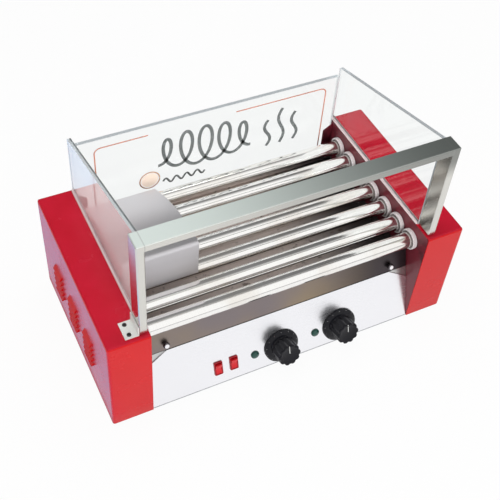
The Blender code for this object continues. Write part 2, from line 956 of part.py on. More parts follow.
def make_motor(pins):
    """The gear motor on its bracket, and the drive shaft with its sprocket."""
    y, z = motor_centre()
    bracket_face = inner_x - gap
    gearbox_face = bracket_face - motor_bracket_sheet - gap
    shaft_tip = chain_x + sprocket_width / 2 + shaft_end
    towards_chain = Matrix.Rotation(math.pi / 2, 4, "Y")
    shaft = rod_mesh(shaft_radius, shaft_tip - gearbox_face - gap, round_sides)
    shaft = add("drive_shaft", shaft, polished_steel, at(gearbox_face + gap, y, z, towards_chain))
    wheel = sprocket_mesh(gap_angle((y, z), pins))
    weld(shaft, wheel, at(chain_x - sprocket_width / 2, y, z, ACROSS))
    half = gearbox_size / 2
    gearbox = prism_mesh(clipped(half, half, gearbox_corner), gearbox_depth)
    place = at(gearbox_face - gearbox_depth, y, z, ACROSS)
    motor = add("gear_motor", gearbox, cast_grey, place)
    can = [
        (0, gap),
        (motor_radius, gap),
        (motor_radius, -motor_length + motor_cap),
        (motor_radius - motor_cap, -motor_length),
        (0, -motor_length),
    ]
    weld(motor, turned_mesh(can, round_sides, False), place)
    width = motor_bracket_width / 2
    loops = [
        rectangle(y - width, seat_z, y + width, z + half + motor_bracket_margin),
        circle(clear_radius(shaft_radius, round_sides) + gap, round_sides, y, z),
    ]
    place = at(bracket_face, 0, 0, ACROSS)
    bracket = as_mesh(flat("motor_bracket", loops, motor_bracket_sheet, zinc, place))
    foot = block_mesh(
        (bracket_face - motor_bracket_foot, y - width, seat_z),
        (bracket_face - motor_bracket_sheet / 2, y + width, seat_z + motor_bracket_sheet),
    )
    weld(bracket, foot)


def clipped(half_x, half_y, corner):
    """A rectangle about the origin with its corners cut off."""
    return [
        (-half_x + corner, -half_y),
        (half_x - corner, -half_y),
        (half_x, -half_y + corner),
        (half_x, half_y - corner),
        (half_x - corner, half_y),
        (-half_x + corner, half_y),
        (-half_x, half_y - corner),
        (-half_x, -half_y + corner),
    ]


def make_elements():
    """A straight heating element through each roller; a holder strip carries them at each end."""
    low, high = roller_height - holder_height / 2, roller_height + holder_height / 2
    front, back = plate_front + holder_end, plate_rear - holder_end
    hole = clear_radius(element_radius, element_sides)
    for side, sign in sides():
        loops = [rectangle(front, low, back, high)]
        if sign > 0:
            loops += [circle(hole, element_sides, roller_y(k), roller_height) for k in range(roller_count)]
        x = span(sign, holder_x, holder_x + sheet)[1]
        name = "right_element_holder" if sign > 0 else "heating_elements"
        holder = as_mesh(flat(name, loops, sheet, zinc, at(x, 0, 0, ACROSS)))
        legs = []
        for y in (front, back - sheet):
            leg = side_block(sign, plate_outer + gap, holder_x + sheet / 2, y, y + sheet, low, high)
            legs.append((leg, LEVEL))
        weld(holder, joined(legs))
        if sign < 0:
            rod = rod_mesh(element_radius, 2 * element_end, element_sides)
            along = Matrix.Rotation(math.pi / 2, 4, "Y")
            places = [at(-element_end, roller_y(k), roller_height, along) for k in range(roller_count)]
            weld(holder, joined([(rod, place) for place in places]))


def make_control_panel():
    """The leaning front sheet with its clipped top corners and the holes for the controls."""
    half = inner_x - gap
    top = up_panel(panel_top)
    low = sheet * lean_sin / lean_cos
    outline = [
        (-half, low),
        (half, low),
        (half, top - panel_clip_v),
        (half - panel_clip_x, top),
        (-half + panel_clip_x, top),
        (-half, top - panel_clip_v),
    ]
    loops = [outline]
    for x in knob_places:
        loops.append(circle(control_hole, round_sides, x, control_row))
    for x in lamp_places:
        loops.append(circle(clear_radius(lamp_body_radius, round_sides), round_sides, x, control_row))
    width = switch_width / 2 - switch_wall / 2
    height = switch_height / 2 - switch_wall / 2
    for x in switch_places:
        loops.append(rectangle(x - width, control_row - height, x + width, control_row + height))
    flat("control_panel", loops, sheet, pale_steel, on_panel(0, 0, 0))


def make_front_rail():
    """A folded cross rail behind the top of the control panel."""
    back = -sheet - gap - sheet
    low = panel_point(up_panel(panel_top) - rail_height, back)
    corner_v = up_panel(panel_top - rail_drop) - (back + sheet) * lean_sin / lean_cos
    corner = panel_point(corner_v, back + sheet)
    half = inner_x - gap
    profile = [
        low,
        (panel_point(up_panel(panel_top) - rail_height, back + sheet)),
        corner,
        (corner[0] + rail_flange, corner[1]),
        (corner[0] + rail_flange, corner[1] - sheet),
        (corner[0] + sheet * (1 - lean_sin) / lean_cos, corner[1] - sheet),
    ]
    rail = prism_mesh(profile, 2 * half)
    add("front_rail", rail, brushed_steel, at(-half, 0, 0, ACROSS))


def make_tray():
    """The drip tray: a folded pan whose front leans like the panel and ends in a rolled hem."""
    reach = inner_x - tray_side_clearance
    half = inner_x - 2 * gap - sheet
    tray = open_box(
        "drip_tray",
        (-reach, tray_front, tray_floor),
        (reach, tray_back, tray_floor + tray_wall),
        ((0, 0, 1), (0, -1, 0)),
        sheet,
        tray_steel,
    )
    low = up_panel(tray_floor)
    high = up_panel(tray_front_top)
    cut(tray, block_mesh((-half, 0, -sheet / 2), (half, high + tray_wall, tray_wall)), on_panel(0, 0, 0))
    face = block_mesh((-half, low, -sheet), (half, high, 0))
    hem = rod_mesh(tray_hem_radius, 2 * half, 8)
    along = Matrix.Rotation(math.pi / 2, 4, "Y")
    weld(tray, face, on_panel(0, 0, 0))
    place = on_panel(-half, high, -tray_hem_radius) @ along
    weld(tray, hem, place)
    profile = [
        (0, pull_length),
        (pull_radius - pull_neck / 3, pull_length),
        (pull_radius, pull_length - pull_neck / 3),
        (pull_radius, pull_neck),
        (pull_neck_radius, pull_neck),
        (pull_neck_radius, gap),
        (0, gap),
    ]
    v = up_panel(panel_top + pull_rise)
    for side, sign in sides():
        place = on_panel(sign * (inner_x - pull_inset), v, 0)
        turned(f"{side}_tray_knob", profile, round_sides, polished_steel, place)


def fluted_outline():
    """The grip's outline, with a shallow flute between each pair of ribs."""
    points = []
    for k in range(knob_flutes):
        for turn_share, depth_share in flute_shares:
            angle = math.tau * (k + turn_share) / knob_flutes
            radius = knob_grip_radius - depth_share * knob_flute_depth
            points.append((radius * math.cos(angle), radius * math.sin(angle)))
    return points


def make_knob(side, x):
    """A dial skirt with a fluted grip and its spindle, the origin on their axis."""
    profile = [
        (0, knob_length),
        (knob_tip_radius, knob_length),
        (knob_tip_radius, knob_skirt + knob_shoulder),
        (knob_grip_neck, knob_skirt + knob_shoulder),
        (knob_skirt_radius, knob_skirt / 2),
        (knob_skirt_radius, 0),
        (0, 0),
    ]
    place = on_panel(x, control_row, knob_lift)
    knob = turned(side + "_knob", profile, 2 * round_sides, black_plastic, place)
    grip = [fluted_outline()]
    lobes = as_mesh(flat("lobes", grip, knob_length - knob_skirt - knob_flute_depth, None, LEVEL))
    weld(knob, baked_mesh(lobes), place @ Matrix.Translation((0, 0, knob_length - knob_flute_depth)))
    shaft = rod_mesh(control_shaft_radius, sheet + knob_lift + knob_skirt, round_sides)
    weld(knob, shaft, on_panel(x, control_row, -sheet))


def make_regulator(side, x):
    """The heat regulator behind a knob: a box with two fixing lugs and a round base for the shaft."""
    face = -sheet - gap
    width, height = regulator_width / 2, regulator_height / 2
    box = block_mesh((-width, -height, face - regulator_depth), (width, height, face - regulator_lug / 2))
    regulator = add(side + "_regulator", box, cast_grey, on_panel(x, control_row, 0))
    lug = block_mesh(
        (-width - regulator_lug, -regulator_lug, face - regulator_lug),
        (width + regulator_lug, regulator_lug, face),
    )
    bush = rod_mesh(regulator_bush, regulator_lug, round_sides)
    weld(regulator, lug, on_panel(x, control_row, 0))
    weld(regulator, bush, on_panel(x, control_row, face - regulator_lug))


def make_lamp(side, x):
    """A round pilot lamp: domed lens and rim in front of the panel, body behind it."""
    profile = [
        (0, lamp_dome),
        (lamp_lens_radius / 2, lamp_dome - lamp_rim / 3),
        (lamp_lens_radius, lamp_rim),
        (lamp_radius, lamp_rim),
        (lamp_radius, gap),
        (lamp_body_radius, gap),
        (lamp_body_radius, -lamp_body),
        (0, -lamp_body),
    ]
    turned(side + "_pilot_lamp", profile, round_sides, green_lens, on_panel(x, control_row, 0))


def make_switch(side, x):
    """A rocker switch: a bezel with an open box behind it, and the paddle that rocks in it."""
    width, height = switch_width / 2, switch_height / 2
    place = on_panel(x, control_row, 0)
    bezel = add(
        side + "_switch_frame",
        block_mesh((-width, -height, gap), (width, height, gap + switch_bezel)),
        red_plastic,
        place,
    )
    inset = switch_wall / 2 + gap
    body = block_mesh(
        (-width + inset, -height + inset, -switch_body), (width - inset, height - inset, switch_bezel)
    )
    weld(bezel, body, place)
    well = block_mesh(
        (-width + switch_wall + gap, -height + switch_wall + gap, -switch_body + switch_wall),
        (width - switch_wall - gap, height - switch_wall - gap, switch_bezel + overrun),
    )
    cut(bezel, well, place)
    half = rocker_length / 2
    profile = [
        (-half, rocker_rise),
        (0, rocker_waist),
        (half, rocker_rise),
        (half - rocker_waist, -rocker_root),
        (-half + rocker_waist, -rocker_root),
    ]
    profile = [(v, w - pivot_w) for v, w in profile]
    reach = width - switch_wall - 2 * gap
    paddle = prism_mesh(profile, 2 * reach)
    hinge = on_panel(x, control_row, pivot_w) @ Matrix.Rotation(rocker_tilt, 4, "X")
    paddle.transform(at(-reach, 0, 0, ACROSS))
    add(side + "_rocker", paddle, red_plastic, hinge)


def make_rear_panel():
    """The customer's side: a sheet with vent slots, and a channel along its top for the rear glass."""
    half = inner_x - gap
    outline = rectangle(-half, seat_z, half, rear_panel_top + rear_lip)
    loops = [outline]
    first = -(vent_slots - 1) / 2 * vent_slot_pitch
    for k in range(vent_slots):
        x = first + k * vent_slot_pitch
        loops.append(
            rectangle(
                x - vent_slot_width / 2, vent_height, x + vent_slot_width / 2, vent_height + vent_slot_length
            )
        )
    loops.append(circle(clear_radius(gland_thread_radius, round_sides), round_sides, gland_x, gland_height))
    panel = as_mesh(flat("rear_panel", loops, sheet, brushed_steel, at(0, body_depth - sheet, 0, UPRIGHT)))
    ledge_front = body_depth - rear_ledge
    ledge = block_mesh(
        (-half, ledge_front, rear_panel_top - sheet), (half, body_depth - sheet / 2, rear_panel_top)
    )
    lip = block_mesh(
        (-half, ledge_front, rear_panel_top - sheet / 2),
        (half, ledge_front + sheet, rear_panel_top + rear_lip),
    )
    weld(panel, ledge)
    weld(panel, lip)


def make_gland():
    """The cord's inlet: a flanged bush through the rear panel, open for the cord."""
    profile = [
        (gland_thread_radius, gland_reach),
        (gland_radius, gland_reach - gland_flange),
        (gland_radius, gap),
        (gland_thread_radius, gap),
        (gland_thread_radius, -sheet - gland_inside),
        (gland_bore, -sheet - gland_inside),
        (gland_bore, gland_reach),
    ]
    backwards = Matrix(((-1, 0, 0), (0, 0, 1), (0, 1, 0))).to_4x4()
    place = at(gland_x, body_depth, gland_height, backwards)
    turned("cord_gland", profile, round_sides, black_plastic, place, ring=True)


def make_terminals():
    """The block where the mains leads are joined."""
    step = terminal_length / terminal_poles
    middle_x = -inner_x + terminal_side_inset
    y = body_depth - terminal_rear_inset
    low = (middle_x - terminal_length / 2, y - terminal_depth / 2, seat_z)
    high = (middle_x + terminal_length / 2, y + terminal_depth / 2, seat_z + terminal_height)
    terminals = add("terminal_block", block_mesh(low, high), white_nylon)
    post = rod_mesh(terminal_screw_radius, 2 * terminal_screw_rise, screw_sides)
    places = []
    for k in range(terminal_poles):
        x = low[0] + (k + 0.5) * step
        places.append((post, at(x, y, high[2] - terminal_screw_rise)))
    weld(terminals, joined(places))


def make_glass():
    """Three plain panes."""
    half = inner_x - rear_glass_side_gap
    rear_y = body_depth - side_glass_inset
    rear = block_mesh((-half, rear_y - glass, rear_panel_top + gap), (half, rear_y, rear_glass_top))
    add("rear_glass", rear, clear_glass)
    front = post_rear + 2 * gap
    back = body_depth - side_glass_inset
    foot = cover_top + gap
    outline = [
        (front, foot),
        (back, foot),
        (back, side_glass_rear_top),
        (front, side_glass_front_top),
    ]
    for side, sign in sides():
        x = span(sign, glass_x, glass_x + glass)[1]
        flat(side + "_glass", [outline], glass, clear_glass, at(x, 0, 0, ACROSS))


def make_portal():
    """Two posts and a bar of rectangular tube, welded into one frame."""
    low = cover_top + gap
    outline = [
        (-portal_reach, low),
        (-portal_reach + portal_tube, low),
        (-portal_reach + portal_tube, portal_top - portal_tube),
        (portal_reach - portal_tube, portal_top - portal_tube),
        (portal_reach - portal_tube, low),
        (portal_reach, low),
        (portal_reach, portal_top),
        (-portal_reach, portal_top),
    ]
    portal = add(
        "portal_frame", prism_mesh(outline, portal_depth), brushed_steel, at(0, post_rear, 0, UPRIGHT)
    )
    soften(portal, portal_edge, 1)


def make_foot_bracket():
    """The angle bracket that ties the left post to the cover."""
    outer = -portal_reach - gap
    front = portal_front
    low = cover_top + gap
    base = block_mesh(
        (outer - bracket_base, front, low), (outer, front + bracket_width, low + bracket_sheet)
    )
    bracket = add("foot_bracket", base, brushed_steel)
    leaf = block_mesh(
        (outer - bracket_sheet, front, low + bracket_sheet / 2),
        (outer, front + bracket_width, low + bracket_leaf),
    )
    weld(bracket, leaf)
    hole = rod_mesh(clear_radius(screw_shank_radius, screw_sides), bracket_sheet + overrun, screw_sides)
    x = outer - bracket_base * bracket_screw_x_share
    places = [(x, front + bracket_width * share) for share in bracket_screw_y_shares]
    cut(bracket, joined([(hole, at(px, py, low - overrun / 2)) for px, py in places]))


def make_rest_cover():
    """A bent sheet over the left ends of the rear rollers, with a skirt and a flange at the side plate."""
    skirt_y = (roller_y(4) + roller_y(5)) / 2
    rear_y = roller_y(0) - rest_rear_setback
    curve = [(skirt_y, rest_top - rest_fold), (skirt_y + rest_fold, rest_top)]
    for share in rest_curve_shares:
        y = skirt_y + rest_fold + share * (rear_y - skirt_y - rest_fold)
        curve.append((y, rest_top - rest_rear_fall * share**2))
    points = [(skirt_y, rest_top - rest_skirt)] + curve
    left = -inner_x + gap
    count = len(points)
    rows = [(x, y, z) for x in (left, left + rest_reach) for y, z in points]
    faces = [(k, count + k, count + k + 1, k + 1) for k in range(count - 1)]
    mesh = bpy.data.meshes.new("rest_cover")
    mesh.from_pydata(rows, [], faces)
    cover = add("rest_cover", mesh, grey_sheet)
    thicken(cover, sheet)
    low = roller_height + bush_radius + rest_flange_drop
    flange = [(y, z - sheet / 2) for y, z in curve]
    flange += [(rear_y - rest_flange_inset, low), (skirt_y + rest_flange_inset, low)]
    weld(cover, prism_mesh(flange, sheet), at(left, 0, 0, ACROSS))


make_feet()
make_base_pan()
for side, sign in sides():
    make_cover(side, sign)
    make_side_plate(side, sign)
    make_bushings(side, sign)
chain = chain_pins()
for index in range(roller_count):
    make_roller(index, chain)
make_chain(chain)
make_motor(chain)
make_elements()
make_control_panel()
make_front_rail()
make_tray()
for side, x in zip(("left", "right"), knob_places):
    make_knob(side, x)
    make_regulator(side, x)
for side, x in zip(("left", "right"), lamp_places):
    make_lamp(side, x)
for side, x in zip(("left", "right"), switch_places):
    make_switch(side, x)
make_rear_panel()
make_gland()
make_terminals()
make_glass()
make_portal()
make_foot_bracket()
make_rest_cover()
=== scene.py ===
# %% [markdown]
# # Dressing a seven-roller sausage warmer
#
# The machine was built beforehand as solids of the right size, in metres. This lesson gives it its
# looks: a camera, a soft studio, the finish of every surface, and the fine pieces that a plain solid
# leaves out, such as round roller tubes, moulded knobs, screw heads and the print on the rear glass.
# We start by loading the solids. They are never moved here: whatever we add takes its place from them.

# %% Load the built machine
import json
import math

import bmesh
import bpy
from mathutils import Matrix, Vector


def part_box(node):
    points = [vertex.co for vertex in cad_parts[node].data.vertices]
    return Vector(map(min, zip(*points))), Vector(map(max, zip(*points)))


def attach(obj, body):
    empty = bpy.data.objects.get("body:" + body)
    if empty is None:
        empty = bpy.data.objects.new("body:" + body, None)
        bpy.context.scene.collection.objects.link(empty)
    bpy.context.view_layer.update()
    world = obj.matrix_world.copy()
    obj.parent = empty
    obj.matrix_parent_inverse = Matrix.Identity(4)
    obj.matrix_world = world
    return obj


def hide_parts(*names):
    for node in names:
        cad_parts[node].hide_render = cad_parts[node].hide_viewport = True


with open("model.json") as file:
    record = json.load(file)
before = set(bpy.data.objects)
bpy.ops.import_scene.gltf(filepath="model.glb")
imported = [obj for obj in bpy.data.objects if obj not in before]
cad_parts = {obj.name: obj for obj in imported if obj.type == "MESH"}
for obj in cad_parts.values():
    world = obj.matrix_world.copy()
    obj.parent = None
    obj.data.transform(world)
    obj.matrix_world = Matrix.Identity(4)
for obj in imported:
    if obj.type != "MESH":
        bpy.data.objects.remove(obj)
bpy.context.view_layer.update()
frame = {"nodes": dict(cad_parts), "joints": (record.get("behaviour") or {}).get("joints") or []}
nodes = frame["nodes"]
joints = {joint["name"]: joint for joint in frame["joints"]}

# %% [markdown]
# The rest of the lesson asks the solids where things are. Millimetres are easier to read than
# metres, so small sizes are written as a number times mm. The side covers give four places that we
# use again and again: the front and back of the machine, the top of the covers, and the inner edge
# of a cover, where the roller bed begins. side_sign says which way each side lies along X.

# %% Places read from the solids
mm = 0.001
cover_low, cover_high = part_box("right_cover")
front_y, back_y = cover_low.y, cover_high.y
cover_top = cover_high.z
inner_x = cover_low.x
roller_count = sum(name.startswith("roller_") and name.endswith("_spin") for name in joints)
side_sign = {"left": -1, "right": 1}
print(f"bed {2 * inner_x / mm:.0f} mm wide with {roller_count} rollers")

# %% [markdown]
# ## The camera
#
# The photograph looks down on the operator's left corner. We turn the camera by three angles: the
# way it faces over the counter, how far it dips, and a slight roll. Its frame is written as a matrix
# whose columns are the picture's right, its up, and the direction away from the machine. The focal
# length was fitted in pixels of a picture 500 wide, so the lens is that share of the sensor's width.

# %% Camera
facing, dip, roll = (math.radians(angle) for angle in (30.02, 48.48, 5.43))
camera_place = Vector((-0.4818, front_y - 0.6861, 1.2033))
focal_share = 912.16 / 500
sensor_width = 36

ahead = Vector((math.sin(facing) * math.cos(dip), math.cos(facing) * math.cos(dip), -math.sin(dip)))
level = Vector((math.cos(facing), -math.sin(facing), 0))
upward = level.cross(ahead)
right = math.cos(roll) * level + math.sin(roll) * upward
upward = math.cos(roll) * upward - math.sin(roll) * level

camera_data = bpy.data.cameras.new("studio_camera")
camera_data.sensor_width = sensor_width
camera_data.lens = focal_share * sensor_width
camera = bpy.data.objects.new("studio_camera", camera_data)
camera.matrix_world = Matrix.Translation(camera_place) @ Matrix((right, upward, -ahead)).transposed().to_4x4()
bpy.context.scene.collection.objects.link(camera)
bpy.context.scene.camera = camera
bpy.context.scene.view_settings.view_transform = "Standard"
print(f"lens {camera_data.lens:.1f} mm")

# %% [markdown]
# ## Shader nodes as arithmetic
#
# A finish that looks real changes over the surface: brush lines, dust, heat tint. In Blender that
# means many small Math nodes. To keep them readable, one small class wraps a node's output and
# overloads Python's operators, so that `1 - mask` adds a Subtract node and gives its output back.

# %% A number that varies over a surface
class Varying:
    """One node output; arithmetic on it adds Math nodes."""

    def __init__(self, finish, socket):
        self.finish = finish
        self.socket = socket

    def maths(self, operation, *numbers):
        return self.finish.node("ShaderNodeMath", {"operation": operation}, dict(enumerate(numbers)))

    def __add__(self, other):
        return self.maths("ADD", self, other)

    def __sub__(self, other):
        return self.maths("SUBTRACT", self, other)

    def __rsub__(self, other):
        return self.maths("SUBTRACT", other, self)

    def __mul__(self, other):
        return self.maths("MULTIPLY", self, other)

    def __gt__(self, other):
        return self.maths("GREATER_THAN", self, other)

    def __abs__(self):
        return self.maths("ABSOLUTE", self)

    __radd__ = __add__
    __rmul__ = __mul__


print("node arithmetic ready")

# %% [markdown]
# A finish is one material. Its `node` method is the only place where nodes are made: it takes the
# node's type, its settings and what goes into its sockets. The other methods are short names for
# the nodes that most finishes need. Positions are the object's own, in metres, so a noise scale is
# a number of grains per metre, and `stretch` squeezes the grains into lines.

# %% A finish
class Finish:
    """A material whose nodes are added one by one."""

    def __init__(self, name):
        self.material = bpy.data.materials.new(name)
        self.material.use_nodes = True
        self.tree = self.material.node_tree
        self.shader = self.tree.nodes["Principled BSDF"]
        self.output = self.tree.nodes["Material Output"]
        self.place = self.node("ShaderNodeTexCoord", output="Object")

    def feed(self, socket, value):
        if isinstance(value, Varying):
            self.tree.links.new(value.socket, socket)
        else:
            socket.default_value = value

    def node(self, kind, settings=None, inputs=None, output=0):
        made = self.tree.nodes.new(kind)
        for name, value in (settings or {}).items():
            setattr(made, name, value)
        for name, value in (inputs or {}).items():
            self.feed(made.inputs[name], value)
        return Varying(self, made.outputs[output])

    def noise(self, scale, detail=2, stretch=(1, 1, 1)):
        where = self.node("ShaderNodeVectorMath", {"operation": "MULTIPLY"}, {0: self.place, 1: stretch})
        return self.node("ShaderNodeTexNoise", None, {"Vector": where, "Scale": scale, "Detail": detail})

    def axis(self, name):
        return self.node("ShaderNodeSeparateXYZ", None, {0: self.place}, name)

    def facing(self, name):
        """How far the surface faces along an axis of the object: 1 towards it, -1 away from it."""
        normal = self.node("ShaderNodeTexCoord", output="Normal")
        return self.node("ShaderNodeSeparateXYZ", None, {0: normal}, name)

    def rise(self, value, low, high):
        """0 below low, 1 above high, with a soft step between."""
        return self.node(
            "ShaderNodeMapRange",
            {"interpolation_type": "SMOOTHSTEP"},
            {"Value": value, "From Min": low, "From Max": high},
        )

    def mix(self, share, first, second):
        """A colour between two, by a share."""
        first, second = (c if isinstance(c, Varying) else (*c, 1) for c in (first, second))
        return self.node("ShaderNodeMix", {"data_type": "RGBA"}, {0: share, 6: first, 7: second}, 2)

    def bump(self, height, depth, normal=None):
        sockets = {"Height": height, "Distance": depth, "Strength": 1.0}
        if normal:
            sockets["Normal"] = normal
        return self.node("ShaderNodeBump", None, sockets)

    def soft_edges(self, radius):
        """A normal that rounds every sharp edge a little, as folded and painted sheet has it."""
        return self.node("ShaderNodeBevel", {"samples": 4}, {"Radius": radius})

    def wear(self, **sockets):
        """Sets the shader's sockets; an underscore stands for the blank in a socket's name."""
        for name, value in sockets.items():
            if name.endswith("Color") and isinstance(value, tuple):
                value = (*value, 1)
            self.feed(self.shader.inputs[name.replace("_", " ")], value)


print("helpers ready")

# %% [markdown]
# ## The studio
#
# The world is a pale room: full white where the camera looks at it or through a glass at it, and
# dimmer where it lights the machine, so that colours come out about as they are written. Metal
# needs something dark to mirror as well. Its reflections see a room whose front half is a white
# screen up to the ceiling, which gives each roller its one broad highlight, and whose back half is
# a grey wall, darkest on the far right. The lamps themselves aren't mirrored.

# %% World
world = bpy.data.worlds.new("pale_room")
world.use_nodes = True
bpy.context.scene.world = world
# The world has nodes but no material, so its helper is made without one.
room = Finish.__new__(Finish)
room.tree = world.node_tree
background = room.tree.nodes["Background"]
rays = {
    name: room.node("ShaderNodeLightPath", output=name)
    for name in ("Is Camera Ray", "Is Glossy Ray", "Is Transmission Ray")
}
room_light = 0.52
direct = room.node(
    "ShaderNodeMath", {"operation": "MAXIMUM"}, {0: rays["Is Camera Ray"], 1: rays["Is Transmission Ray"]}
)
room.place = room.node("ShaderNodeTexCoord", output="Generated")
front_screen = 1 - room.rise(room.axis("Y"), -0.45, 0.30)
above_floor = room.rise(room.axis("Z"), -0.20, 0.08)
far_right = room.rise(room.axis("X"), 0.15, 0.60)
walls = 0.26 - 0.14 * far_right
mirrored = rays["Is Glossy Ray"] * (walls + front_screen * above_floor * (1.05 - walls))
plain = (1 - direct) * (1 - rays["Is Glossy Ray"]) * room_light
room.feed(background.inputs["Strength"], direct + mirrored * (1 - direct) + plain)
room.feed(background.inputs["Color"], (1, 1, 1, 1))
print("room light", room_light)


# %% Soft boxes
def soft_box(name, place, aim, size, watts):
    """A square area lamp that looks at a point."""
    lamp = bpy.data.lights.new(name, "AREA")
    lamp.shape = "RECTANGLE"
    lamp.size, lamp.size_y = size
    lamp.energy = watts
    box = bpy.data.objects.new(name, lamp)
    box.visible_glossy = False
    away = Vector(place) - Vector(aim)
    box.matrix_world = Matrix.Translation(place) @ away.to_track_quat("Z", "Y").to_matrix().to_4x4()
    bpy.context.scene.collection.objects.link(box)


bed = (0, 0, 0.16)
soft_box("top_box", (-0.1, 0.2, 1.5), bed, (1.6, 0.7), 8)
soft_box("front_box", (-0.5, -1.7, 0.9), bed, (1.4, 0.8), 16)
soft_box("right_box", (1.6, -0.3, 0.9), bed, (0.6, 0.9), 3)
print("3 soft boxes")

# %% [markdown]
# The floor is a plain pale sheet. Part of what the camera sees of it glows by itself, so that it
# stays near white, and the rest takes light and shadow, which keeps the machine's soft shadow. In
# mirrored views the glow fades with distance and the sheet darkens, so that polished steel shows a
# greyer horizon. Close beside the left cover the mirrored glow is bluish, as daylight from a window
# would be there.

# %% Floor
floor_size = 12.0
glow_share = 0.94
horizon_start, horizon_end = 0.5, 1.6
blue_strip, strip_edge, strip_end = 0.37, 0.05, 0.12
floor_finish = Finish("pale_floor")
grain = floor_finish.noise(40, 3)
away = floor_finish.node("ShaderNodeVectorMath", {"operation": "LENGTH"}, {0: floor_finish.place}, "Value")
far = floor_finish.rise(away, horizon_start, horizon_end)
seen_through = floor_finish.node("ShaderNodeLightPath", output="Is Transmission Ray")
seen_in_steel = floor_finish.node("ShaderNodeLightPath", output="Is Glossy Ray") * (1 - seen_through)
sheet_tone = floor_finish.mix(grain, (0.84, 0.84, 0.84), (0.88, 0.88, 0.88))
floor_tone = floor_finish.mix(seen_in_steel * far * 0.8, sheet_tone, (0.22, 0.22, 0.22))
floor_finish.wear(Base_Color=floor_tone, Roughness=0.9)
glow = floor_finish.node("ShaderNodeEmission", None, {"Color": (1, 1, 1, 1), "Strength": 1.0})
window_glow = floor_finish.node("ShaderNodeEmission", None, {"Color": (0.50, 0.66, 1.0, 1), "Strength": 1.2})
from_strip = abs(floor_finish.axis("X") + blue_strip)
on_left = seen_in_steel * (1 - floor_finish.rise(from_strip, strip_edge, strip_end))
glow = floor_finish.node("ShaderNodeMixShader", None, {0: on_left, 1: glow, 2: window_glow})
seen = floor_finish.node("ShaderNodeLightPath", output="Is Camera Ray") + seen_through
seen = (seen > 0) + seen_in_steel * (1 - 0.8 * far)
lit = Varying(floor_finish, floor_finish.shader.outputs[0])
blend = floor_finish.node("ShaderNodeMixShader", None, {0: seen * glow_share, 1: lit, 2: glow})
floor_finish.feed(floor_finish.output.inputs["Surface"], blend)

floor_mesh = bpy.data.meshes.new("floor")
sheet = bmesh.new()
bmesh.ops.create_grid(sheet, x_segments=1, y_segments=1, size=floor_size / 2)
sheet.to_mesh(floor_mesh)
sheet.free()
floor_mesh.materials.append(floor_finish.material)
floor = bpy.data.objects.new("floor", floor_mesh)
bpy.context.scene.collection.objects.link(floor)
print("floor", floor_size, "m")

# %% [markdown]
# ## Painted sheet
#
# The side covers are sheet steel with a glossy red powder coat. Powder melts into a skin that is
# never quite flat, like the peel of an orange, so a fine noise drives a shallow bump. A slow noise
# shifts the red a little, dust dulls the lowest part, and rounded normals catch light on the folds.
# The faces that look up are painted a darker, more crimson red: painted shade on the tops.

# %% Red powder coat
red_coat = Finish("red_powder_coat")
drift = red_coat.noise(7, 3)
low_dust = 1 - red_coat.rise(red_coat.axis("Z") + red_coat.noise(60, 3) * 0.03, 0.012, 0.05)
red = red_coat.mix(drift, (0.56, 0.004, 0.007), (0.68, 0.008, 0.011))
# Painted shade: faces that look up get a darker, more crimson red than the front and sides.
top_painted_shade = red_coat.rise(red_coat.facing("Z"), 0.6, 0.95)
top_shade_red = red_coat.mix(red_coat.noise(24, 3), (0.46, 0.004, 0.016), (0.56, 0.010, 0.034))
red = red_coat.mix(top_painted_shade, red, top_shade_red)
red_coat.wear(
    Base_Color=red_coat.mix(low_dust * 0.10, red, (0.45, 0.36, 0.33)),
    Roughness=0.20 + red_coat.noise(30, 4) * 0.12 + low_dust * 0.25,
    Normal=red_coat.bump(red_coat.noise(650, 2), 0.02 * mm, red_coat.soft_edges(1.0 * mm)),
    Specular_IOR_Level=0.20,
    Coat_Weight=0.03,
    Coat_Roughness=0.08,
)
print("painted", red_coat.material.name)

# %% [markdown]
# The inner walls carry the same red, painted much darker as painted shade, for they stand in the
# shade between the covers. Warm fat darkens and dulls it further, most of all round the roller
# bearings. The height above the counter says how far a point lies from the row of bearings.

# %% Inner walls
bearing_z = joints["roller_1_spin"]["pos_m"][2]
inner_coat = Finish("inner_wall_coat")
near_row = 1 - inner_coat.rise(abs(inner_coat.axis("Z") - bearing_z), 6 * mm, 34 * mm)
fat = near_row * inner_coat.rise(inner_coat.noise(55, 4), 0.38, 0.62)
# Painted shade: this red is a much darker copy of the covers' red.
inner_shade_red = inner_coat.mix(inner_coat.noise(9, 3), (0.140, 0.014, 0.024), (0.210, 0.022, 0.036))
inner_coat.wear(
    Base_Color=inner_coat.mix(fat * 0.75, inner_shade_red, (0.040, 0.010, 0.012)),
    Roughness=0.30 + inner_coat.noise(45, 4) * 0.16 + fat * 0.12,
    Normal=inner_coat.bump(inner_coat.noise(650, 2), 0.02 * mm),
    Specular_IOR_Level=0.35,
    Coat_Weight=0.1 * (1 - fat * 0.6),
)
print("painted", inner_coat.material.name)

# %% [markdown]
# ## Stainless steel
#
# All steel here is the same metal with another surface. A brushed sheet has fine scratches in one
# direction: a noise that is squeezed along that direction gives thousands of thin lines, which vary
# the roughness and a very shallow bump. One function makes a brushed finish, and the three
# differences, colour, direction and dullness, are its arguments. The small bracket at the left post
# is blasted steel, which scatters light almost as a pale paint does, so its metallic share is low.

# %% Brushed steel
def brushed(name, dark, light, brush, dull):
    """A brushed sheet; brush holds the grains per metre in each direction."""
    steel = Finish(name)
    lines = steel.noise(1, 4, brush)
    slow = steel.noise(11, 3)
    steel.wear(
        Base_Color=steel.mix(lines * 0.5 + slow * 0.5, dark, light),
        Metallic=1.0,
        Roughness=dull - 0.10 + lines * 0.14 + steel.rise(slow, 0.45, 0.7) * 0.06,
        Normal=steel.bump(lines, 0.012 * mm, steel.soft_edges(0.5 * mm)),
    )
    return steel


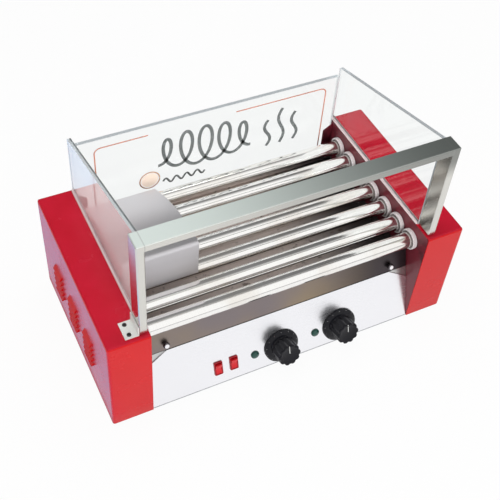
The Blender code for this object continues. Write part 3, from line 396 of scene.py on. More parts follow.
level_brush = (35, 2600, 2600)
upright_brush = (2600, 2600, 35)
panel_steel = brushed("panel_steel", (0.86, 0.86, 0.89), (0.96, 0.96, 0.99), level_brush, 0.26)
rail_steel = brushed("rail_steel", (0.52, 0.53, 0.52), (0.66, 0.67, 0.66), level_brush, 0.32)
back_steel = brushed("back_steel", (0.60, 0.60, 0.60), (0.74, 0.74, 0.74), level_brush, 0.38)
rest_steel = brushed("rest_steel", (0.70, 0.68, 0.70), (0.82, 0.80, 0.82), level_brush, 0.50)
bracket_steel = brushed("bracket_steel", (0.80, 0.81, 0.78), (0.90, 0.91, 0.88), level_brush, 0.62)
bracket_steel.wear(Metallic=0.3)
print("brushed", panel_steel.material.name, bracket_steel.material.name)

# %% [markdown]
# The portal is welded from lengths of brushed tube, and the scratches follow each length: level
# along the bar, upright on the posts. The height tells the two apart, with a thin darker seam where
# the weld was ground flat. Upper faces are worn dull by wiping, and they are painted paler and less
# metallic than the fronts, which is painted light on the tops. Towards the bar's right end the steel
# is painted darker, as in the photograph: a painted reflection of a dim side of the room.

# %% Portal steel
portal_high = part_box("portal_frame")[1]
tube = 12 * mm
shade_left, shade_right = -0.24, 0.28
shade_low, shade_high = portal_high.z - 60 * mm, portal_high.z - 20 * mm
portal_steel = Finish("portal_steel")
on_bar = portal_steel.axis("Z") > portal_high.z - tube
bar_lines = portal_steel.noise(1, 4, level_brush)
post_lines = portal_steel.noise(1, 4, upright_brush)
lines = on_bar * bar_lines + (1 - on_bar) * post_lines
from_corner = abs(abs(portal_steel.axis("X")) - (portal_high.x - tube))
seam = (1 - portal_steel.rise(from_corner, 0.3 * mm, 1.2 * mm)) * on_bar
# Upper faces: rougher with wear, and painted paler and less metallic as painted light.
top_wear_and_painted_light = portal_steel.rise(portal_steel.facing("Z"), 0.5, 0.9)
front_steel = portal_steel.mix(lines, (0.62, 0.61, 0.57), (0.76, 0.75, 0.71))
steel = portal_steel.mix(top_wear_and_painted_light, front_steel, (0.80, 0.88, 0.84))
near_bar = portal_steel.rise(portal_steel.axis("Z"), shade_low, shade_high)
# Painted reflection: near the bar, the steel is painted dark towards the right end.
painted_dark_right_end = portal_steel.rise(portal_steel.axis("X"), shade_left, shade_right) * near_bar
steel = portal_steel.mix(painted_dark_right_end * 0.8, steel, (0.17, 0.18, 0.17))
portal_steel.wear(
    Base_Color=portal_steel.mix(seam * 0.35, steel, (0.36, 0.37, 0.36)),
    Metallic=1 - top_wear_and_painted_light * 0.6 * (1 - painted_dark_right_end),
    Roughness=0.16 + top_wear_and_painted_light * 0.44 + lines * 0.10,
    Normal=portal_steel.bump(lines, 0.012 * mm, portal_steel.soft_edges(0.8 * mm)),
)
print("brushed", portal_steel.material.name)

# %% [markdown]
# The drip tray sits under the heating rollers, so its steel has browned, and burnt fat lies on its
# floor in dark islands between a pale film of grease. The floor is painted paler on the left, which is
# painted light, and towards the right end the front face and the floor are painted near black:
# painted shade and a painted dark reflection.

# %% Heat-browned tray steel
dark_start, face_dark, pan_dark = 0.04, 0.19, 0.21
face_end, pan_start = front_y + 46 * mm, front_y + 60 * mm
tray_steel = Finish("tray_steel")
lines = tray_steel.noise(1, 4, level_brush)
browning = tray_steel.rise(tray_steel.noise(5, 3), 0.35, 0.68)
steel = tray_steel.mix(browning, (0.25, 0.215, 0.22), (0.33, 0.26, 0.18))
# Painted dark reflection: the front face goes near black towards the right end.
painted_dark_right_end = tray_steel.rise(tray_steel.axis("X") + lines * 0.02, dark_start, face_dark)
steel = tray_steel.mix(painted_dark_right_end * 0.85, steel, (0.030, 0.028, 0.045))
behind_face = tray_steel.rise(tray_steel.axis("Y"), face_end, pan_start)
# Painted light on the floor's left part and painted shade towards its right end.
pan_painted_shade = tray_steel.rise(tray_steel.axis("X"), dark_start, pan_dark)
pan = tray_steel.mix(pan_painted_shade, (0.92, 0.80, 0.75), (0.06, 0.05, 0.05))
steel = tray_steel.mix(behind_face * 0.85, steel, pan)
burnt = tray_steel.rise(tray_steel.noise(70, 5), 0.58, 0.70) * behind_face
tray_steel.wear(
    Base_Color=tray_steel.mix(burnt * 0.7, steel, (0.10, 0.06, 0.035)),
    Metallic=1 - behind_face * 0.7 - burnt * 0.2,
    Roughness=0.30 + lines * 0.16 + burnt * 0.22,
    Normal=tray_steel.bump(lines + burnt * 2.5, 0.012 * mm),
)
print("browned", tray_steel.material.name)

# %% [markdown]
# Rollers are drawn tubes, polished while they turn, so their lines run round the tube and the noise
# is squeezed along X instead. Years of warm fat leave a thin straw-coloured film with soft edges.

# %% Polished rollers and turned parts
def polished(name, dark, light, dull, film):
    """Turned or ground steel; film is how much warm fat colours it."""
    steel = Finish(name)
    rings = steel.noise(1, 3, (2400, 12, 12))
    patches = steel.rise(steel.noise(16, 4), 0.42, 0.70) * film
    clean = steel.mix(rings, dark, light)
    steel.wear(
        Base_Color=steel.mix(patches, clean, (0.62, 0.50, 0.36)),
        Metallic=1.0,
        Roughness=dull + rings * 0.05 + patches * 0.22,
        Normal=steel.bump(rings, 0.0015 * mm),
    )
    return steel


roller_steel = polished("roller_steel", (0.86, 0.85, 0.83), (0.97, 0.96, 0.94), 0.09, 0.22)
turned_steel = polished("turned_steel", (0.78, 0.78, 0.78), (0.90, 0.90, 0.90), 0.12, 0.0)
black_steel = polished("blackened_steel", (0.05, 0.05, 0.05), (0.11, 0.11, 0.11), 0.22, 0.0)
print("polished", roller_steel.material.name, turned_steel.material.name)

# %% [markdown]
# Hidden inside are zinc-plated sheet, a cast motor and the dull alloy of the heating rods. Zinc
# grows in flakes, so cells of a Voronoi pattern tint it; cast metal is grainy and rough.

# %% Zinc, casting and heating rods
zinc = Finish("zinc_plate")
flakes = zinc.node("ShaderNodeTexVoronoi", None, {"Vector": zinc.place, "Scale": 220.0}, "Color")
flake = zinc.node("ShaderNodeSeparateXYZ", None, {0: flakes}, "X")
zinc.wear(
    Base_Color=zinc.mix(flake, (0.44, 0.46, 0.48), (0.62, 0.64, 0.65)),
    Metallic=1.0,
    Roughness=0.34 + flake * 0.16,
    Normal=zinc.bump(zinc.noise(900, 2), 0.01 * mm),
)
casting = Finish("cast_housing")
grit = casting.noise(1400, 3)
casting.wear(
    Base_Color=casting.mix(casting.noise(30, 3), (0.15, 0.16, 0.17), (0.27, 0.28, 0.29)),
    Metallic=0.6,
    Roughness=0.48 + grit * 0.2,
    Normal=casting.bump(grit, 0.12 * mm, casting.soft_edges(1.0 * mm)),
)
heater = Finish("heating_rod_alloy")
scale_skin = heater.noise(120, 4)
heater.wear(
    Base_Color=heater.mix(scale_skin, (0.16, 0.15, 0.13), (0.30, 0.27, 0.23)),
    Metallic=1.0,
    Roughness=0.45 + scale_skin * 0.25,
    Normal=heater.bump(scale_skin, 0.02 * mm),
)
print("inner metals", zinc.material.name, casting.material.name, heater.material.name)

# %% [markdown]
# ## Plastics and rubber
#
# Moulded plastic has a faint grain from its mould and rubs shiny in patches. The same function
# serves every plastic piece, rubber, seal and ink.

# %% Moulded plastics
def moulded(name, dark, light, dull, grain, depth, shine=0.4):
    """A moulded surface with grain of a given fineness per metre and depth."""
    plastic = Finish(name)
    fine = plastic.noise(grain, 3)
    rub = plastic.noise(38, 4)
    plastic.wear(
        Base_Color=plastic.mix(rub, dark, light),
        Roughness=dull + rub * 0.14,
        Normal=plastic.bump(fine, depth, plastic.soft_edges(0.4 * mm)),
        Specular_IOR_Level=shine,
    )
    return plastic


knob_black = moulded(
    "knob_black", (0.003, 0.003, 0.005), (0.008, 0.008, 0.012), 0.10, 1500, 0.02 * mm, shine=0.22
)
gland_black = moulded("gland_black", (0.010, 0.010, 0.011), (0.030, 0.030, 0.032), 0.34, 1800, 0.05 * mm)
rubber = moulded("foot_rubber", (0.012, 0.012, 0.012), (0.040, 0.039, 0.037), 0.68, 1200, 0.10 * mm)
rocker_red = moulded("rocker_red", (0.56, 0.006, 0.012), (0.72, 0.016, 0.024), 0.18, 900, 0.01 * mm)
frame_red = moulded("switch_frame_red", (0.30, 0.004, 0.010), (0.42, 0.008, 0.016), 0.26, 900, 0.02 * mm)
block_white = moulded("terminal_white", (0.66, 0.64, 0.60), (0.80, 0.78, 0.74), 0.40, 1200, 0.03 * mm)
seal_white = moulded("glass_seal", (0.74, 0.60, 0.60), (0.88, 0.76, 0.76), 0.42, 500, 0.05 * mm)
nylon = moulded("bearing_nylon", (0.66, 0.60, 0.60), (0.86, 0.82, 0.82), 0.34, 1100, 0.03 * mm)

lens = moulded("lamp_lens", (0.001, 0.038, 0.028), (0.002, 0.075, 0.056), 0.10, 700, 0.02 * mm)
lens.wear(Coat_Weight=0.4, Coat_Roughness=0.04)
print("plastics", knob_black.material.name, nylon.material.name)

# %% [markdown]
# ## Glass
#
# The panes are toughened glass, which is clear through its face and blue-grey through its ground
# edge. The surface's own direction tells the two apart, and a Mix Shader picks the clear or the
# edge shader by it. The left pane is a little milky with fat left by wiping, and along the inner
# corner of the side panes' ground edges a dark line is painted: painted shade. Rays from the lamps
# pass straight through: otherwise the panes would throw hard shadows, which such thin clear glass
# doesn't do.

# %% Clear panes with ground edges
def pane(name, face_axis, clearness, dark_line):
    """Glass whose wide faces look along an axis; the dark line is how far out its ground edge is painted
    dark, a painted shade.
    """
    glass = Finish(name)
    smears = glass.rise(glass.noise(13, 4), 0.5, 0.8)
    glass.wear(
        Base_Color=glass.mix(smears, (0.945, 0.960, 0.955), (0.925, 0.935, 0.940)),
        Roughness=smears * 0.03,
        Transmission_Weight=clearness,
        IOR=1.22,
    )
    edge_grain = glass.noise(1500, 2)
    pale_edge = glass.mix(edge_grain, (0.66, 0.74, 0.78), (0.88, 0.92, 0.95))
    # Painted shade: a dark line along the inner part of the ground edge.
    painted_dark_arris = 1 - glass.rise(abs(glass.axis(face_axis)), dark_line - 0.3 * mm, dark_line + 0.3 * mm)
    tint = glass.mix(painted_dark_arris * 0.85, pale_edge, (0.09, 0.11, 0.11))
    ground = {"Base Color": tint, "Roughness": 0.30 + edge_grain * 0.2, "Transmission Weight": 0.5}
    edge = glass.node("ShaderNodeBsdfPrincipled", None, ground)
    on_edge = 1 - (abs(glass.facing(face_axis)) > 0.7)
    clear = Varying(glass, glass.shader.outputs[0])
    solid = glass.node("ShaderNodeMixShader", None, {0: on_edge, 1: clear, 2: edge})
    through = glass.node("ShaderNodeBsdfTransparent", None, {"Color": (0.93, 0.95, 0.95, 1)})
    shadow_ray = glass.node("ShaderNodeLightPath", output="Is Shadow Ray")
    passing = glass.node("ShaderNodeMixShader", None, {0: shadow_ray, 1: solid, 2: through})
    glass.feed(glass.output.inputs["Surface"], passing)
    return glass


pane_inner_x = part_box("right_glass")[0].x
left_pane = pane("left_pane", "X", 0.76, pane_inner_x + 2.4 * mm)
right_pane = pane("right_pane", "X", 1.0, pane_inner_x + 0.3 * mm)
rear_pane = pane("rear_pane", "Y", 1.0, 0)
print("glass", left_pane.material.name, right_pane.material.name, rear_pane.material.name)

# %% [markdown]
# ## Dressing the solids
#
# A solid whose shape is already right only needs its finish. The table gives a finish to every
# name that holds a certain word, and the first word that fits wins.

# %% Finish of each solid
finish_of = (
    ("rest_cover", rest_steel),
    ("_cover", red_coat),
    ("side_plate", inner_coat),
    ("tray_knob", turned_steel),
    ("drip_tray", tray_steel),
    ("control_panel", panel_steel),
    ("front_rail", rail_steel),
    ("rear_panel", back_steel),
    ("portal_frame", portal_steel),
    ("foot_bracket", bracket_steel),
    ("rear_glass", rear_pane),
    ("left_glass", left_pane),
    ("right_glass", right_pane),
    ("roller_", roller_steel),
    ("drive_shaft", turned_steel),
    ("bushing", nylon),
    ("heating_elements", heater),
    ("gear_motor", casting),
    ("regulator", casting),
    ("terminal_block", block_white),
    ("_knob", knob_black),
    ("pilot_lamp", lens),
    ("switch_frame", frame_red),
    ("rocker", rocker_red),
    ("gland", gland_black),
    ("_foot", rubber),
    ("", zinc),
)
for name, solid in nodes.items():
    chosen = next(finish for word, finish in finish_of if word in name)
    solid.data.materials.clear()
    solid.data.materials.append(chosen.material)
print("dressed", len(nodes), "solids")

# %% [markdown]
# ## Making fine pieces
#
# The helpers below make the fine pieces. A turned piece is a profile spun about an axis, and
# `rounded` softens the profile's corners first, because no real edge is perfectly sharp. A loft is
# a skin over rings of points. `along` gives the frame of a piece whose axis points a certain way.
# Meshes are moved into place, so that every piece shares the machine's own coordinates and a
# finish can use heights and distances.

# %% Turning and lofting
def along(origin, out, across=(1, 0, 0)):
    """A frame at a point, its z axis pointing out and its x axis near the other direction."""
    z = Vector(out).normalized()
    y = z.cross(Vector(across)).normalized()
    x = y.cross(z)
    return Matrix.Translation(origin) @ Matrix((x, y, z)).transposed().to_4x4()


def rounded(profile, radius, steps=4):
    """The profile with its corners rounded, less where a run is short."""
    points = [Vector(profile[0])]
    for before, corner, after in zip(profile, profile[1:], profile[2:]):
        corner = Vector(corner)
        back, onward = Vector(before) - corner, Vector(after) - corner
        reach = min(radius, back.length / 2, onward.length / 2)
        start, end = corner + back.normalized() * reach, corner + onward.normalized() * reach
        for k in range(steps + 1):
            t = k / steps
            points.append(start * (1 - t) ** 2 + corner * 2 * t * (1 - t) + end * t**2)
    points.append(Vector(profile[-1]))
    return points


def arc(x, z, radius, start, end, steps):
    """Points on an arc, by angles in degrees."""
    turns = [math.radians(start + (end - start) * k / steps) for k in range(steps + 1)]
    return [(x + radius * math.cos(t), z + radius * math.sin(t)) for t in turns]


def as_mesh(shape, name):
    """Closes a bmesh: merges doubles, turns its faces out and writes it to a mesh."""
    bmesh.ops.remove_doubles(shape, verts=shape.verts, dist=0.001 * mm)
    bmesh.ops.recalc_face_normals(shape, faces=shape.faces)
    mesh = bpy.data.meshes.new(name)
    shape.to_mesh(mesh)
    shape.free()
    return mesh


def turned(profile, sides=64):
    """A mesh spun about z from (radius, z) points."""
    shape = bmesh.new()
    points = [shape.verts.new((radius, 0, z)) for radius, z in profile]
    runs = [shape.edges.new(pair) for pair in zip(points, points[1:])]
    bmesh.ops.spin(
        shape, geom=points + runs, axis=(0, 0, 1), cent=(0, 0, 0), angle=math.tau, steps=sides, use_merge=True
    )
    return as_mesh(shape, "turned")


def lofted(rings, closed=False):
    """A skin over rings of points; closed joins the last ring to the first instead of capping."""
    shape = bmesh.new()
    rows = [[shape.verts.new(point) for point in ring] for ring in rings]
    pairs = list(zip(rows, rows[1:])) + ([(rows[-1], rows[0])] if closed else [])
    for lower, upper in pairs:
        for k in range(len(lower)):
            shape.faces.new((lower[k - 1], lower[k], upper[k], upper[k - 1]))
    if not closed:
        shape.faces.new(rows[0])
        shape.faces.new(rows[-1])
    return as_mesh(shape, "loft")


def piece(name, mesh, finish, body, place=Matrix.Identity(4), sharp=32):
    """Puts a copy of a mesh in place as a piece that moves with a body."""
    mesh = mesh.copy()
    mesh.transform(place)
    mesh.materials.clear()
    mesh.materials.append(finish.material)
    mesh.shade_smooth()
    mesh.set_sharp_from_angle(angle=math.radians(sharp))
    made = bpy.data.objects.new(name, mesh)
    bpy.context.scene.collection.objects.link(made)
    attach(made, body)
    return made


print("turning and lofting ready")

# %% [markdown]
# ## Rollers
#
# Each roller is a steel tube whose ends are turned down to journals. The solid has sixteen flat
# sides, which a mirror finish would show, so a tube of ninety-six sides replaces it. Its lengths
# and radii are read from the solid. The chain wheel at its right end is drawn again too: between two
# teeth lies a round seat for the chain's roller. Measures that differ by less than a hair, a tenth
# of a millimetre, count as the same.

# %% Measure a roller
hair = 0.1 * mm


def off_axis(point, centre):
    """How far a point lies from a line along X through a centre."""
    return math.hypot(point.y - centre[1], point.z - centre[2])


def distances(node, centre, start, end):
    """Distances from a line along X through a centre, for the node's points between two x places."""
    return [off_axis(v.co, centre) for v in nodes[node].data.vertices if start <= v.co.x <= end]


first_axis = joints["roller_1_spin"]["pos_m"]
roller_low, roller_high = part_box("roller_1")
near_left_end = roller_low.x + 1 * mm
tube_radius = max(distances("roller_1", first_axis, -inner_x, 0))
journal_radius = max(distances("roller_1", first_axis, roller_low.x, near_left_end))
bore_radius = min(distances("roller_1", first_axis, roller_low.x, near_left_end))
tube_half = max(
    abs(v.co.x)
    for v in nodes["roller_1"].data.vertices
    if v.co.x < 0 and off_axis(v.co, first_axis) > tube_radius - hair
)
print(f"tube {2 * tube_radius / mm:.1f} mm thick, {2 * tube_half / mm:.0f} mm long")

# %% Roller tubes
tube_profile = [(bore_radius, roller_high.x), (journal_radius, roller_high.x), (journal_radius, tube_half)]
tube_profile += [(tube_radius, tube_half), (tube_radius, -tube_half), (journal_radius, -tube_half)]
tube_profile += [(journal_radius, roller_low.x), (bore_radius, roller_low.x), (bore_radius, roller_high.x)]
tube_mesh = turned(rounded(tube_profile, 0.9 * mm), 96)


def roller_frame(k):
    """The frame of roller k, with z along the roller."""
    return along((0, *joints[f"roller_{k}_spin"]["pos_m"][1:]), (1, 0, 0), (0, 1, 0))


for k in range(1, roller_count + 1):
    place = roller_frame(k)
    tube_piece = piece(f"fine_roller_{k}", tube_mesh, roller_steel, f"roller_body_{k}", place)
    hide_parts(f"roller_{k}")
print(roller_count, "roller tubes")

# %% [markdown]
# The wheel's outline is one formula: seven seats on the pitch circle, each an arc about the chain
# pin, joined over seven blunt tips. How far the wheel is turned is found from the solid: the points
# farthest from its axis are the tips, and a seat lies half a tooth beyond a tip.

# %% Chain wheels
teeth = 7
chain_pitch = 12.7 * mm
seat_radius = 4.6 * mm
tip_radius = 17.0 * mm
pitch_radius = chain_pitch / (2 * math.sin(math.pi / teeth))
tip_lean = 0.07
wheel_width = 5 * mm
shaft_end = 3 * mm
wheel_end = roller_high.x - shaft_end
past_wall = inner_x + 8 * mm


def seat_angle(node, centre):
    """The angle of one seat of a solid's chain wheel, about a line along X."""
    points = [v.co for v in nodes[node].data.vertices if v.co.x > past_wall]
    rim = [p for p in points if off_axis(p, centre) > tip_radius - 2 * hair]
    total = sum((complex(p.y - centre[1], p.z - centre[2]) / off_axis(p, centre)) ** teeth for p in rim)
    return math.atan2(total.imag, total.real) / teeth + math.pi / teeth


def wheel_outline(phase):
    """The wheel seen from its end, as (x, y) points."""
    points = []
    for tooth in range(teeth):
        angle = phase + math.tau * tooth / teeth
        for turn in range(100, -101, -20):
            seat = angle + math.pi + math.radians(turn)
            x = pitch_radius * math.cos(angle) + seat_radius * math.cos(seat)
            points.append((x, pitch_radius * math.sin(angle) + seat_radius * math.sin(seat)))
        for lean in (-tip_lean, 0.0, tip_lean):
            tip = angle + math.pi / teeth + lean
            points.append((tip_radius * math.cos(tip), tip_radius * math.sin(tip)))
    return points


def wheel_mesh(phase, bore):
    """A chain wheel with a bore, its end faces ringed to the outline."""
    outer = wheel_outline(phase)
    inner = [(bore * x / math.hypot(x, y), bore * y / math.hypot(x, y)) for x, y in outer]
    near, far = wheel_end - wheel_width, wheel_end
    rounds = ((outer, near), (outer, far), (inner, far), (inner, near))
    return lofted([[(x, y, z) for x, y in edge] for edge, z in rounds], closed=True)


for k in range(1, roller_count + 1):
    phase = seat_angle(f"roller_{k}", joints[f"roller_{k}_spin"]["pos_m"])
    wheel = wheel_mesh(phase, journal_radius)
    place = roller_frame(k)
    piece(f"chain_wheel_{k}", wheel, turned_steel, f"roller_body_{k}", place, sharp=25)
print(roller_count, "chain wheels")

# %% [markdown]
# ## Bearings
#
# A white nylon cup at each roller end keeps fat out of the wall. Its flange has a rim, and the
# journal runs in the hole through its web. The flange's size comes from the solid.

# %% Nylon cups
bush_rim, bush_web, bush_body, wall_gap = 2.5 * mm, 2.5 * mm, 11 * mm, 0.3 * mm
bush_bore = journal_radius + 0.4 * mm
web_z, flange_back = -inner_x + bush_web, -inner_x + wall_gap
for side, sign in side_sign.items():
    low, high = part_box(f"{side}_bushing_1")
    flange_radius = (high.z - low.z) / 2
    flange_face, body_end = (high.x, low.x) if sign < 0 else (-low.x, -high.x)
    profile = [(flange_radius - bush_rim, web_z), (flange_radius - bush_rim, flange_face)]
    profile += [(flange_radius, flange_face), (flange_radius, flange_back), (bush_body, flange_back)]
    profile += [(bush_body, body_end), (bush_bore, body_end), (bush_bore, web_z), profile[0]]
    cup = turned(rounded(profile, 0.8 * mm), 72)
    for k in range(1, roller_count + 1):
        _, y, z = joints[f"roller_{k}_spin"]["pos_m"]
        name = f"{side}_bushing_{k}"
        place = along((0, y, z), (-sign, 0, 0), (0, 1, 0))
        made = piece("fine_" + name, cup, nylon, "housing", place)
        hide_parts(name)
print(2 * roller_count, "cups")

# %% [markdown]
# ## Knobs
#
# A knob has a dished skirt, and a grip with rounded flutes for the fingers. The grip is a loft: each
# ring is a circle whose radius dips once for each flute, and the rings shrink over the rounded top.
# The whole knob is measured in its own frame on the leaning panel, so it fits the solid.

# %% Measure a knob
def in_frame(node, place):
    """The node's points as seen from a frame."""
    back = place.inverted()
    return [back @ v.co for v in nodes[node].data.vertices]


panel_out = -Vector(joints["left_knob_turn"]["axis"])


def panel_frame(x, z):
    """A frame on the panel's face at a place, its z axis pointing out of the panel."""
    centre = joints["left_knob_turn"]["pos_m"]
    up_the_panel = panel_out.cross(Vector((1, 0, 0)))
    rise = (z - centre[2]) / up_the_panel.z
    return along(Vector((x, centre[1], centre[2])) + up_the_panel * rise, panel_out)


knob_x, _, control_z = joints["left_knob_turn"]["pos_m"]
seen_points = in_frame("left_knob", panel_frame(knob_x, control_z))
knob_length = max(p.z for p in seen_points)
skirt_radius = max(math.hypot(p.x, p.y) for p in seen_points)
grip_radius = max(math.hypot(p.x, p.y) for p in seen_points if p.z > knob_length / 2)
print(f"knob {2 * skirt_radius / mm:.0f} mm across, {knob_length / mm:.0f} mm long")

# %% Knob shapes
flutes = 10
flute_depth = 2.2 * mm
knob_lift = 0.8 * mm
skirt_top = knob_lift + 4.0 * mm
ring_points = 200


def fluted_ring(radius, depth, z):
    """A ring of points whose radius dips by the depth once for each flute."""
    ring = []
    for k in range(ring_points):
        angle = math.tau * k / ring_points
        dip_here = depth * (0.5 - 0.5 * math.cos(flutes * angle)) ** 1.6
        ring.append(((radius - dip_here) * math.cos(angle), (radius - dip_here) * math.sin(angle), z))
    return ring


def grip_rings():
    """Rings from the foot of the grip over its rounded top to a shallow dish."""
    rings = [fluted_ring(grip_radius + 1.5 * mm, 0.4 * mm, skirt_top)]
    rings.append(fluted_ring(grip_radius + 0.4 * mm, flute_depth * 0.7, skirt_top + 1.5 * mm))
    rings.append(fluted_ring(grip_radius, flute_depth, skirt_top + 4 * mm))
    top_round = 2.2 * mm
    for step in range(7):
        turn = math.pi / 2 * step / 6
        inset = top_round * (1 - math.cos(turn))
        height = knob_length - top_round + top_round * math.sin(turn)
        rings.append(fluted_ring(grip_radius - 0.4 * mm - inset, flute_depth, height))
    rings.append(fluted_ring(grip_radius - 5.5 * mm, 0, knob_length - 0.4 * mm))
    rings.append(fluted_ring(grip_radius - 7.0 * mm, 0, knob_length - 1.0 * mm))
    return rings


skirt_wall, skirt_recess = 2 * mm, knob_lift + 1.2 * mm
skirt_profile = [(0, skirt_top + 1 * mm), (grip_radius - 1 * mm, skirt_top + 1 * mm)]
skirt_profile += [(grip_radius + 3 * mm, skirt_top + 0.4 * mm), (skirt_radius, knob_lift + 2.0 * mm)]
skirt_profile += [(skirt_radius, knob_lift), (skirt_radius - skirt_wall, knob_lift)]
skirt_profile += [(skirt_radius - skirt_wall, skirt_recess), (0, skirt_recess)]
skirt_mesh = turned(rounded(skirt_profile, 0.7 * mm), 96)
grip_mesh = lofted(grip_rings())
print("grip with", flutes, "flutes")

# %% [markdown]
# A pale line on the grip shows where the knob points. It is a thin bar with rounded ends that lies
# over the dish and is sunk in its rim, and it follows the knob as the skirt and grip do. Short marks
# round the skirt divide the turn.

# %% Pointer and skirt marks
pointer_ink = moulded("pointer_ink", (0.55, 0.55, 0.54), (0.70, 0.70, 0.68), 0.40, 900, 0.01 * mm)


def bar_mesh(x_size, y_size, z_size, edge):
    """A bar about the origin with rounded edges."""
    shape = bmesh.new()
    bmesh.ops.create_cube(shape, size=1)
    bmesh.ops.scale(shape, vec=(x_size, y_size, z_size), verts=shape.verts)
    bmesh.ops.bevel(shape, geom=shape.edges, offset=edge, segments=3, affect="EDGES", profile=0.5)
    return as_mesh(shape, "bar")


def merged(parts):
    """One mesh from several, each with its place."""
    shape = bmesh.new()
    for mesh, place in parts:
        copy = mesh.copy()
        copy.transform(place)
        shape.from_mesh(copy)
        bpy.data.meshes.remove(copy)
    return as_mesh(shape, "merged")


pointer_length = grip_radius - 6 * mm
pointer_mesh = bar_mesh(1.3 * mm, pointer_length, 0.8 * mm, 0.3 * mm)
pointer_place = Matrix.Translation((0, grip_radius - 2.2 * mm - pointer_length / 2, knob_length - 0.5 * mm))
mark_mesh = bar_mesh(0.5 * mm, 3.0 * mm, 0.5 * mm, 0.15 * mm)
mark_radius = skirt_radius - 3.2 * mm
mark_height = knob_lift + 2.75 * mm
mark_count, first_mark, mark_step = 11, 135, 27
marks = []
for k in range(mark_count):
    turn = Matrix.Rotation(math.radians(first_mark - mark_step * k), 4, "Z")
    marks.append((mark_mesh, turn @ Matrix.Translation((0, mark_radius, mark_height))))
marks_mesh = merged(marks)

for side in side_sign:
    x, _, z = joints[side + "_knob_turn"]["pos_m"]
    place = panel_frame(x, z)
    body = side + "_knob_body"
    grip = piece(side + "_knob_grip", grip_mesh, knob_black, body, place, sharp=60)
    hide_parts(side + "_knob")
    piece(side + "_knob_skirt", skirt_mesh, knob_black, body, place)
    piece(side + "_knob_pointer", pointer_mesh, pointer_ink, body, place @ pointer_place)
    piece(side + "_knob_marks", marks_mesh, pointer_ink, body, place)
print("2 knobs with", len(marks), "marks each")

# %% [markdown]
# ## Lamps and switches
#
# Each pilot lamp is a green lens like a low dome, held in a thin rim. It is turned in one profile.

# %% Pilot lamps
lamp_rim, lamp_back, lamp_step = 1.5 * mm, 0.3 * mm, 1.8 * mm
for side in side_sign:
    low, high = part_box(side + "_pilot_lamp")
    lamp_x = (low.x + high.x) / 2
    place = panel_frame(lamp_x, control_z)
    seen_points = in_frame(side + "_pilot_lamp", place)
    rim_radius = (high.x - low.x) / 2
    dome = max(p.z for p in seen_points)
    tail = min(p.z for p in seen_points)
    lens_radius = rim_radius - 1.2 * mm
    dome_profile = [(0.0, dome)]
    dome_profile += [
        (lens_radius * math.sin(math.radians(a)), lamp_rim + (dome - lamp_rim) * math.cos(math.radians(a)))
        for a in range(10, 91, 10)
    ]
    rim_profile = [dome_profile[-1], (lens_radius, 1.0 * mm), (lens_radius + 0.2 * mm, lamp_rim)]
    rim_profile += [(rim_radius, lamp_rim), (rim_radius, lamp_back), (rim_radius - lamp_step, lamp_back)]
    rim_profile += [(rim_radius - lamp_step, tail), (0, tail)]
    lamp_mesh = turned(dome_profile + rounded(rim_profile, 0.4 * mm)[1:])
    made = piece(f"fine_{side}_lamp", lamp_mesh, lens, "housing", place)
    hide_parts(side + "_pilot_lamp")
print("2 lamps")

# %% [markdown]
# Each switch has a red frame with rounded corners and a red paddle in it. The frame is a loft that
# starts at the floor of its well, climbs the well's wall, crosses the rim and goes down the outside.
# The paddle is a loft across its width: every section is a shallow V with a hollow for the finger on
# both halves, and the sections shrink a little at the two sides, which rounds the edges.

# %% Switch frames
def rounded_box(half_x, half_y, radius, z):
    """A ring of points round a rectangle with rounded corners."""
    ring = []
    for k, (sign_x, sign_y) in enumerate(((1, 1), (-1, 1), (-1, -1), (1, -1))):
        corner = arc(sign_x * (half_x - radius), sign_y * (half_y - radius), radius, 90 * k, 90 * k + 90, 5)
        ring += [(x, y, z) for x, y in corner]
    return ring


for side in side_sign:
    low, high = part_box(side + "_switch_frame")
    place = panel_frame((low.x + high.x) / 2, control_z)
    seen_points = in_frame(side + "_switch_frame", place)
    top, tail = max(p.z for p in seen_points), min(p.z for p in seen_points)
    rim = [p for p in seen_points if p.z > top - hair]
    rear = [p for p in seen_points if p.z < tail + hair]
    rim_x, rim_y = max(p.x for p in rim), max(p.y for p in rim)
    well_x, well_y = min(abs(p.x) for p in rim), min(abs(p.y) for p in rim)
    rear_x, rear_y = max(p.x for p in rear), max(p.y for p in rear)
    # Each row: the size it starts from, how much larger, the corner's radius, and the height.
    rows = (
        (well_x, well_y, 0, 0.7, tail + 1.6 * mm),
        (well_x, well_y, 0, 0.7, top - 0.5 * mm),
        (well_x, well_y, 0.12, 0.8, top - 0.12 * mm),
        (well_x, well_y, 0.4, 1.0, top),
        (rim_x, rim_y, -0.6, 1.6, top),
        (rim_x, rim_y, -0.15, 1.9, top - 0.2 * mm),
        (rim_x, rim_y, 0, 2.0, top - 0.7 * mm),
        (rim_x, rim_y, 0, 2.0, 0.3 * mm),
        (rear_x, rear_y, 0, 0.5, 0.3 * mm),
        (rear_x, rear_y, 0, 0.5, tail),
    )
    rings = [rounded_box(x + more * mm, y + more * mm, radius * mm, z) for x, y, more, radius, z in rows]
    made = piece(f"fine_{side}_switch_frame", lofted(rings), frame_red, "housing", place)
    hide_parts(side + "_switch_frame")
print("2 switch frames")


# %% Switch paddles
valley = 0.14
finger_hollow = 0.35 * mm


def paddle_section(half, lip, waist, root_half, root, hollow):
    """The paddle's outline at one place across it, as (up the panel, out) points."""
    top = []
    for k in range(21):
        share = k / 10 - 1
        climb = (math.hypot(share, valley) - valley) / (math.hypot(1, valley) - valley)
        finger = hollow * 4 * abs(share) * (1 - abs(share))
        top.append((half * share, waist + (lip - waist) * climb - finger))
    return rounded([(0, root), (-root_half, root)] + top + [(root_half, root), (0, root)], 0.5 * mm, 3)[:-1]


